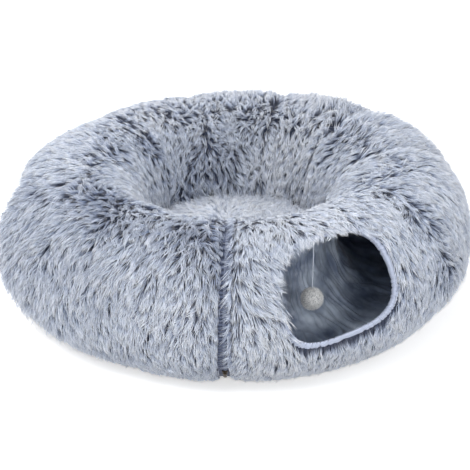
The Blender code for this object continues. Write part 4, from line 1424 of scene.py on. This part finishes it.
# %% [markdown]
# ## Finish of the pompom and its cord
#
# Undyed wool yarn: matt, greyish off-white, with greyer fibres among the light ones. Each fibre
# darkens towards the core, and the core is grey: painted shade deep in the ball. The elastic
# cord is wrapped in white thread, whose spiral is drawn as a fine wave along it.

# %% Pompom and cord finishes
wool_finish = new_finish("undyed wool yarn", {"Roughness": 0.9, "Sheen Weight": 0.3})
# The ramp along the fibres darkens towards the core: painted shade inside the ball.
colour_strands(wool_finish, along=[(0.0, "#75787e"), (0.65, "#ffffff")],
               across=[(0.0, "#a8abb0"), (1.0, "#fbfbfa"), (0.5, "#eff0f0")])
give_finish(pompom_fibres, wool_finish)

# The core's grey is painted shade deep in the ball.
core_finish = new_finish("wool core", {"Roughness": 0.95})
lay_pattern(core_finish, "ShaderNodeTexNoise", [("Scale", 1 / 0.002), ("Detail", 2.0)],
            [(0.35, "#84868b"), (0.65, "#b9babd")])
give_finish(pompom_core, core_finish)

cord_finish = new_finish("thread-wrapped elastic", {"Roughness": 0.6, "Sheen Weight": 0.2})
lay_pattern(cord_finish, "ShaderNodeTexWave", [("Scale", wave_scale(0.002))],
            [(0.0, "#b4bccb"), (1.0, "#d3d9e4")], bands_direction="Z")
give_finish(toy_cord, cord_finish)
nodes["toy_knot"].material_slots[0].material = cord_finish
print("finishes:", wool_finish.name, core_finish.name, cord_finish.name)

# %% [markdown]
# ## Cushion
#
# The loose cushion is a round pad with a crowned top and drawn-in flanks, stuffed with fibre.
# Its cover is turned from the pad's profile in fine steps, and slow dents make it look stuffed
# by hand. Softer, shorter pile than the tunnel's grows on it, combed from the middle outward.

# %% The pad's profile
CUSHION_RIM = 0.1612
CUSHION_RIM_HEIGHT = 0.106
CUSHION_FOOT = 0.0024
CUSHION_CROWN_RISE = 0.017
CUSHION_PILE = 0.007
DENT_DEPTH = 0.0022
FINE_DENT_DEPTH = 0.0015


def pad_profile(step):
    """Radius and height of the pile's surface: the crown is at 0, the rim at 0.55, the foot at 1."""
    across = (0, 0.30, 0.58, 0.80, 0.93, 1, 1, 0.97, 0.945, 0.932, 0.925)
    up = (1, 0.965, 0.85, 0.62, 0.34, 0.10, -0.05, -1.6, -3.2, -4.8, -6.09)
    at = (0, 0.16, 0.30, 0.41, 0.49, 0.54, 0.57, 0.68, 0.79, 0.90, 1)
    radius = CUSHION_RIM * np.interp(step, at, across)
    height = CUSHION_RIM_HEIGHT + CUSHION_CROWN_RISE * np.interp(step, at, up)
    return radius, height


def pile_depth(step):
    """Depth of the cushion's pile, thinner towards the foot."""
    return CUSHION_PILE * np.clip(3 * (1 - step), 0.15, 1)


def pad_surface(turn, step, depth):
    """Points of the cushion under its pile by depth."""
    nearby = [np.stack(pad_profile(np.clip(step + shift, 0, 1)))
              for shift in np.linspace(-0.04, 0.04, 9)]
    radius, height = np.mean(nearby, 0)
    r1, h1 = pad_profile(np.clip(step - 0.05, 0, 1))
    r2, h2 = pad_profile(np.clip(step + 0.05, 0, 1))
    slope = np.hypot(r2 - r1, h2 - h1) + 1e-9
    out, rise = -(h2 - h1) / slope, (r2 - r1) / slope
    dent = DENT_DEPTH * np.sin(3 * turn + 1) * np.sin(5 * step + 2)
    dent = dent + FINE_DENT_DEPTH * np.sin(7 * turn - 9 * step)
    inward = depth + DENT_DEPTH + dent * np.clip(1.2 * (1 - step), 0, 1)
    radius = radius - inward * out
    height = height - inward * rise
    return np.stack([radius * np.cos(turn), radius * np.sin(turn), height], -1)


print("pad rim", CUSHION_RIM)

# %% Make the pad
PAD_TURNS = 160
PAD_STEPS = 44

turn = np.linspace(0, math.tau, PAD_TURNS, endpoint=False)
step = np.linspace(0.004, 1, PAD_STEPS)
turn, step = np.meshgrid(turn, step, indexing="ij")
cover = pad_surface(turn, step, pile_depth(step))
cover[..., 2] = np.maximum(cover[..., 2], CUSHION_FOOT)
count = PAD_TURNS * PAD_STEPS
points = np.concatenate([cover.reshape(-1, 3), [cover[:, 0].mean(0), cover[:, -1].mean(0)]])
faces = []
for i in range(PAD_TURNS):
    here, there = i * PAD_STEPS, (i + 1) % PAD_TURNS * PAD_STEPS
    faces += [(here + j, here + j + 1, there + j + 1, there + j) for j in range(PAD_STEPS - 1)]
    faces += [(count, here, there), (here + PAD_STEPS - 1, count + 1, there + PAD_STEPS - 1)]
pad = new_mesh("cushion_pad", points, faces)
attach(pad, "cushion")
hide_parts("cushion_top")
print("pad faces:", len(pad.data.polygons))

# %% Pile of the pad
PAD_ARC = 0.30  # from the crown over the rim to the foot
CROWN_SPREAD = 0.16
RIM_STEP = 0.50
RIM_SPREAD = 0.09
RIM_FLUFF = 1.3  # how much further the pile stands off at the rim
SOFT_LOCK_RADIUS = 0.0046
SOFT_RISE = (-0.1, 0.8, 1.3, 1.45)
SOFT_CLUMP = (1, 0.9, 0.6, 0.3)
SOFT_HALF_WIDTHS = (0.00045, 0.0008)
NARROWEST_ROW = 0.01
SOFT_PILE = (
    # part, steps from and to, spacing and length of the locks, strands in each
    ("top", 0.01, 0.37, 0.0060, 0.030, 6),
    ("rim", 0.37, 0.56, 0.0060, 0.030, 6),
    ("flank", 0.56, 0.96, 0.0072, 0.014, 5),
)


def grow_on_pad(name, turns, steps, length, strands):
    """Locks of soft pile on the pad, combed outward and down."""
    count = len(turns)
    size = (count, strands)
    rim = hill(steps - RIM_STEP, RIM_SPREAD)
    heading = random.normal(0, 1, count) * (0.45 + 0.35 * rim)
    heading = heading + 0.8 * np.sin(3 * turns + 5 * steps)
    heading = heading + random.uniform(-3, 3, count) * hill(steps, CROWN_SPREAD)
    lock = length * random.uniform(0.7, 1.2, count)
    strand = lock[:, None] * random.uniform(0.75, 1.1, size)
    swing = heading[:, None] + random.normal(0, 0.15, size)
    spin = random.uniform(0, math.tau, size)
    offset = SOFT_LOCK_RADIUS * np.sqrt(random.uniform(0, 1, size))
    lift = random.uniform(0.6, 1.15, count)[:, None] * random.uniform(0.8, 1.15, size)
    lift = lift * (1 + rim[:, None] * random.uniform(0, RIM_FLUFF, size))
    middle = PAD_ARC * steps[:, None]
    points = []
    for share, rise, clump in zip(STEPS, SOFT_RISE, SOFT_CLUMP):
        out = np.cos(swing) * strand * share + offset * np.cos(spin) * clump
        along = np.sin(swing) * strand * share + offset * np.sin(spin) * clump
        at_step = np.clip(np.hypot(middle + out, along) / PAD_ARC, 0.002, 0.985)
        at_turn = turns[:, None] + np.arctan2(along, middle + out)
        low = pad_surface(at_turn, at_step, pile_depth(at_step))
        high = pad_surface(at_turn, at_step, 0 * at_step)
        points.append(low + (rise * lift)[..., None] * (high - low))
    points = np.stack([p.reshape(-1, 3) for p in points], 1)
    points[..., 2] = np.maximum(points[..., 2], CUSHION_FOOT)
    up = points[:, 1] - points[:, 1] * np.array([1, 1, 0]) * 0.55
    up /= np.linalg.norm(up, axis=1, keepdims=True)
    # Darker at the rim: painted shade where the cushion meets the tunnel's walls.
    light = (0.72 - 0.30 * rim + random.normal(0, 0.20, count))[:, None]
    light = light + random.normal(0, 0.12, size)
    width = random.uniform(*SOFT_HALF_WIDTHS, len(points))
    piece = strand_mesh(name, points, up, width, light.ravel())
    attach(piece, "cushion")
    return piece


def pad_grid(low, high, spacing):
    """Jittered places on the pad between two steps of its profile."""
    turns, steps = [], []
    rows = max(1, round((high - low) * PAD_ARC / spacing))
    for row in range(rows):
        step = low + (high - low) * (row + 0.5) / rows
        radius = max(NARROWEST_ROW, pad_profile(step)[0])
        count = max(3, round(math.tau * radius / spacing))
        turns.append((np.arange(count) + random.uniform(0.1, 0.9, count)) / count * math.tau)
        steps.append(step + random.uniform(-0.5, 0.5, count) * (high - low) / rows)
    return np.concatenate(turns), np.concatenate(steps)


cushion_pile = []
for part, low, high, spacing, length, strands in SOFT_PILE:
    turns, steps = pad_grid(low, high, spacing)
    cushion_pile.append(grow_on_pad(f"cushion_pile_{part}", turns, steps, length, strands))
print("cushion pile triangles:", [len(p.data.polygons) for p in cushion_pile])

# %% [markdown]
# ## Finish of the cushion
#
# The same kind of pile, but bleached further down, so that it looks paler and its roots hardly
# show. The ramp is moved towards the root for that, and the pad under it is a pale knit.

# %% Cushion finishes
soft_pile_finish = new_finish("pale acrylic pile",
                              {"Roughness": 0.75, "Specular IOR Level": 0.25,
                               "Sheen Weight": 0.5, "Sheen Roughness": 0.5})
colour_strands(soft_pile_finish,
               along=[(0.0, "#8d98ae"), (1.0, "#fbfcff"), (0.30, "#c6cedd"), (0.60, "#eef2f9")],
               across=[(0.0, "#ccd4e3"), (1.0, "#ffffff"), (0.5, "#f3f6fc")])
for piece in cushion_pile:
    give_finish(piece, soft_pile_finish)

knit_finish = new_finish("pale knitted cover", {"Roughness": 0.9, "Sheen Weight": 0.2})
lay_pattern(knit_finish, "ShaderNodeTexNoise", [("Scale", 1 / 0.002), ("Detail", 2.0)],
            [(0.3, "#6d778d"), (0.7, "#939cb0")], bump=(0.4, 0.0006))
give_finish(pad, knit_finish)
print("finishes:", soft_pile_finish.name, knit_finish.name)

# %% [markdown]
# ## Cushion base
#
# The underside is a dark cloth with small rubber dots, so that the cushion doesn't slide. The
# CAD disc has the right shape, so it stays and gets its finish: dots 2.5 mm wide on a 7 mm
# grid, from a cell pattern whose cells sit in rows.

# %% Base finish
DOT_SPACING = 0.007
grip_finish = new_finish("dotted anti-slip cloth", {"Roughness": 0.8})
place = add_node(grip_finish, "ShaderNodeTexCoord")
cells = add_node(grip_finish, "ShaderNodeTexVoronoi",
                 [("Vector", place.outputs["Object"]), ("Scale", 1 / DOT_SPACING),
                  ("Randomness", 0.0)], voronoi_dimensions="3D")
dots = add_node(grip_finish, "ShaderNodeMapRange",
                [("Value", cells.outputs["Distance"]), ("From Min", 0.22), ("From Max", 0.16)])
tone = add_node(grip_finish, "ShaderNodeMix",
                [(0, dots.outputs["Result"]), (6, linear("#2a2c33")), (7, linear("#4a4d57"))],
                data_type="RGBA")
bump = add_node(grip_finish, "ShaderNodeBump",
                [("Height", dots.outputs["Result"]), ("Strength", 0.5), ("Distance", 0.0006)])
to_shader(grip_finish, "Base Color", tone.outputs[2])
to_shader(grip_finish, "Normal", bump.outputs["Normal"])
nodes["cushion_base"].material_slots[0].material = grip_finish
print("finish:", grip_finish.name)

# %% [markdown]
# ## Zip
#
# A nylon zip on woven tapes joins the tube's two ends. Its CAD shapes are right, so each node
# keeps its mesh. The tape is dyed blue-grey like the pile and shows ribs across its width, the
# nylon its turns as a bump, and the die-cast slider and tab are blackened brass: dark in the
# hollows and browner where fingers rub.

# %% Zip finishes
zip_cloth = new_finish("woven polyester zip tape", {"Roughness": 0.85, "Sheen Weight": 0.1})
lay_pattern(zip_cloth, "ShaderNodeTexWave",
            [("Scale", wave_scale(0.0060)), ("Distortion", 2.5), ("Detail", 2.0)],
            [(0.0, "#232a3e"), (1.0, "#566079")], bump=(0.4, 0.0003), bands_direction="Z")

zip_nylon = new_finish("moulded nylon", {"Roughness": 0.42})
lay_pattern(zip_nylon, "ShaderNodeTexWave", [("Scale", wave_scale(0.0013))],
            [(0.0, "#394259"), (1.0, "#7b859d")], bump=(0.6, 0.0005), bands_direction="Z")

zip_brass = new_finish("blackened brass", {"Metallic": 1.0, "Roughness": 0.42})
lay_pattern(zip_brass, "ShaderNodeTexNoise", [("Scale", 1 / 0.0022), ("Detail", 4.0)],
            [(0.40, "#2a2623"), (0.66, "#5b5144")], gloss=(0.5, 0.28))

for finish, pieces in (
    (zip_cloth, ("tape_left", "tape_right")),
    (zip_nylon, ("teeth_left", "teeth_right", "retainer_box", "insertion_pin")),
    (zip_brass, ("stop_left", "stop_right", "slider", "pull_tab")),
):
    for piece in pieces:
        nodes[f"zip_{piece}"].material_slots[0].material = finish
print("zip finishes:", zip_cloth.name, zip_nylon.name, zip_brass.name)

# %% [markdown]
# ## Spring and crimps
#
# Oil-tempered spring wire: drawn steel with a thin dark oxide and fine draw marks along it. The
# crimps are plated steel, brighter, with faint tool marks. Both hide under the cover, but their
# nodes stay, so they get finishes too.

# %% Steel finishes
wire_finish = new_finish("drawn spring wire", {"Metallic": 1.0, "Roughness": 0.38})
lay_pattern(wire_finish, "ShaderNodeTexNoise", [("Scale", 1 / 0.004), ("Detail", 5.0)],
            [(0.35, "#6f7175"), (0.65, "#9a9b9e")], gloss=(0.32, 0.48))

crimp_finish = new_finish("zinc-plated steel", {"Metallic": 1.0, "Roughness": 0.3})
lay_pattern(crimp_finish, "ShaderNodeTexVoronoi", [("Scale", 1 / 0.0015)],
            [(0.2, "#a5a8ac"), (0.8, "#c4c6c8")], output="Distance")
nodes["spring_coil"].material_slots[0].material = wire_finish
for name in ("crimp_sleeve_left", "crimp_sleeve_right"):
    nodes[name].material_slots[0].material = crimp_finish
print("steel finishes:", wire_finish.name, crimp_finish.name)
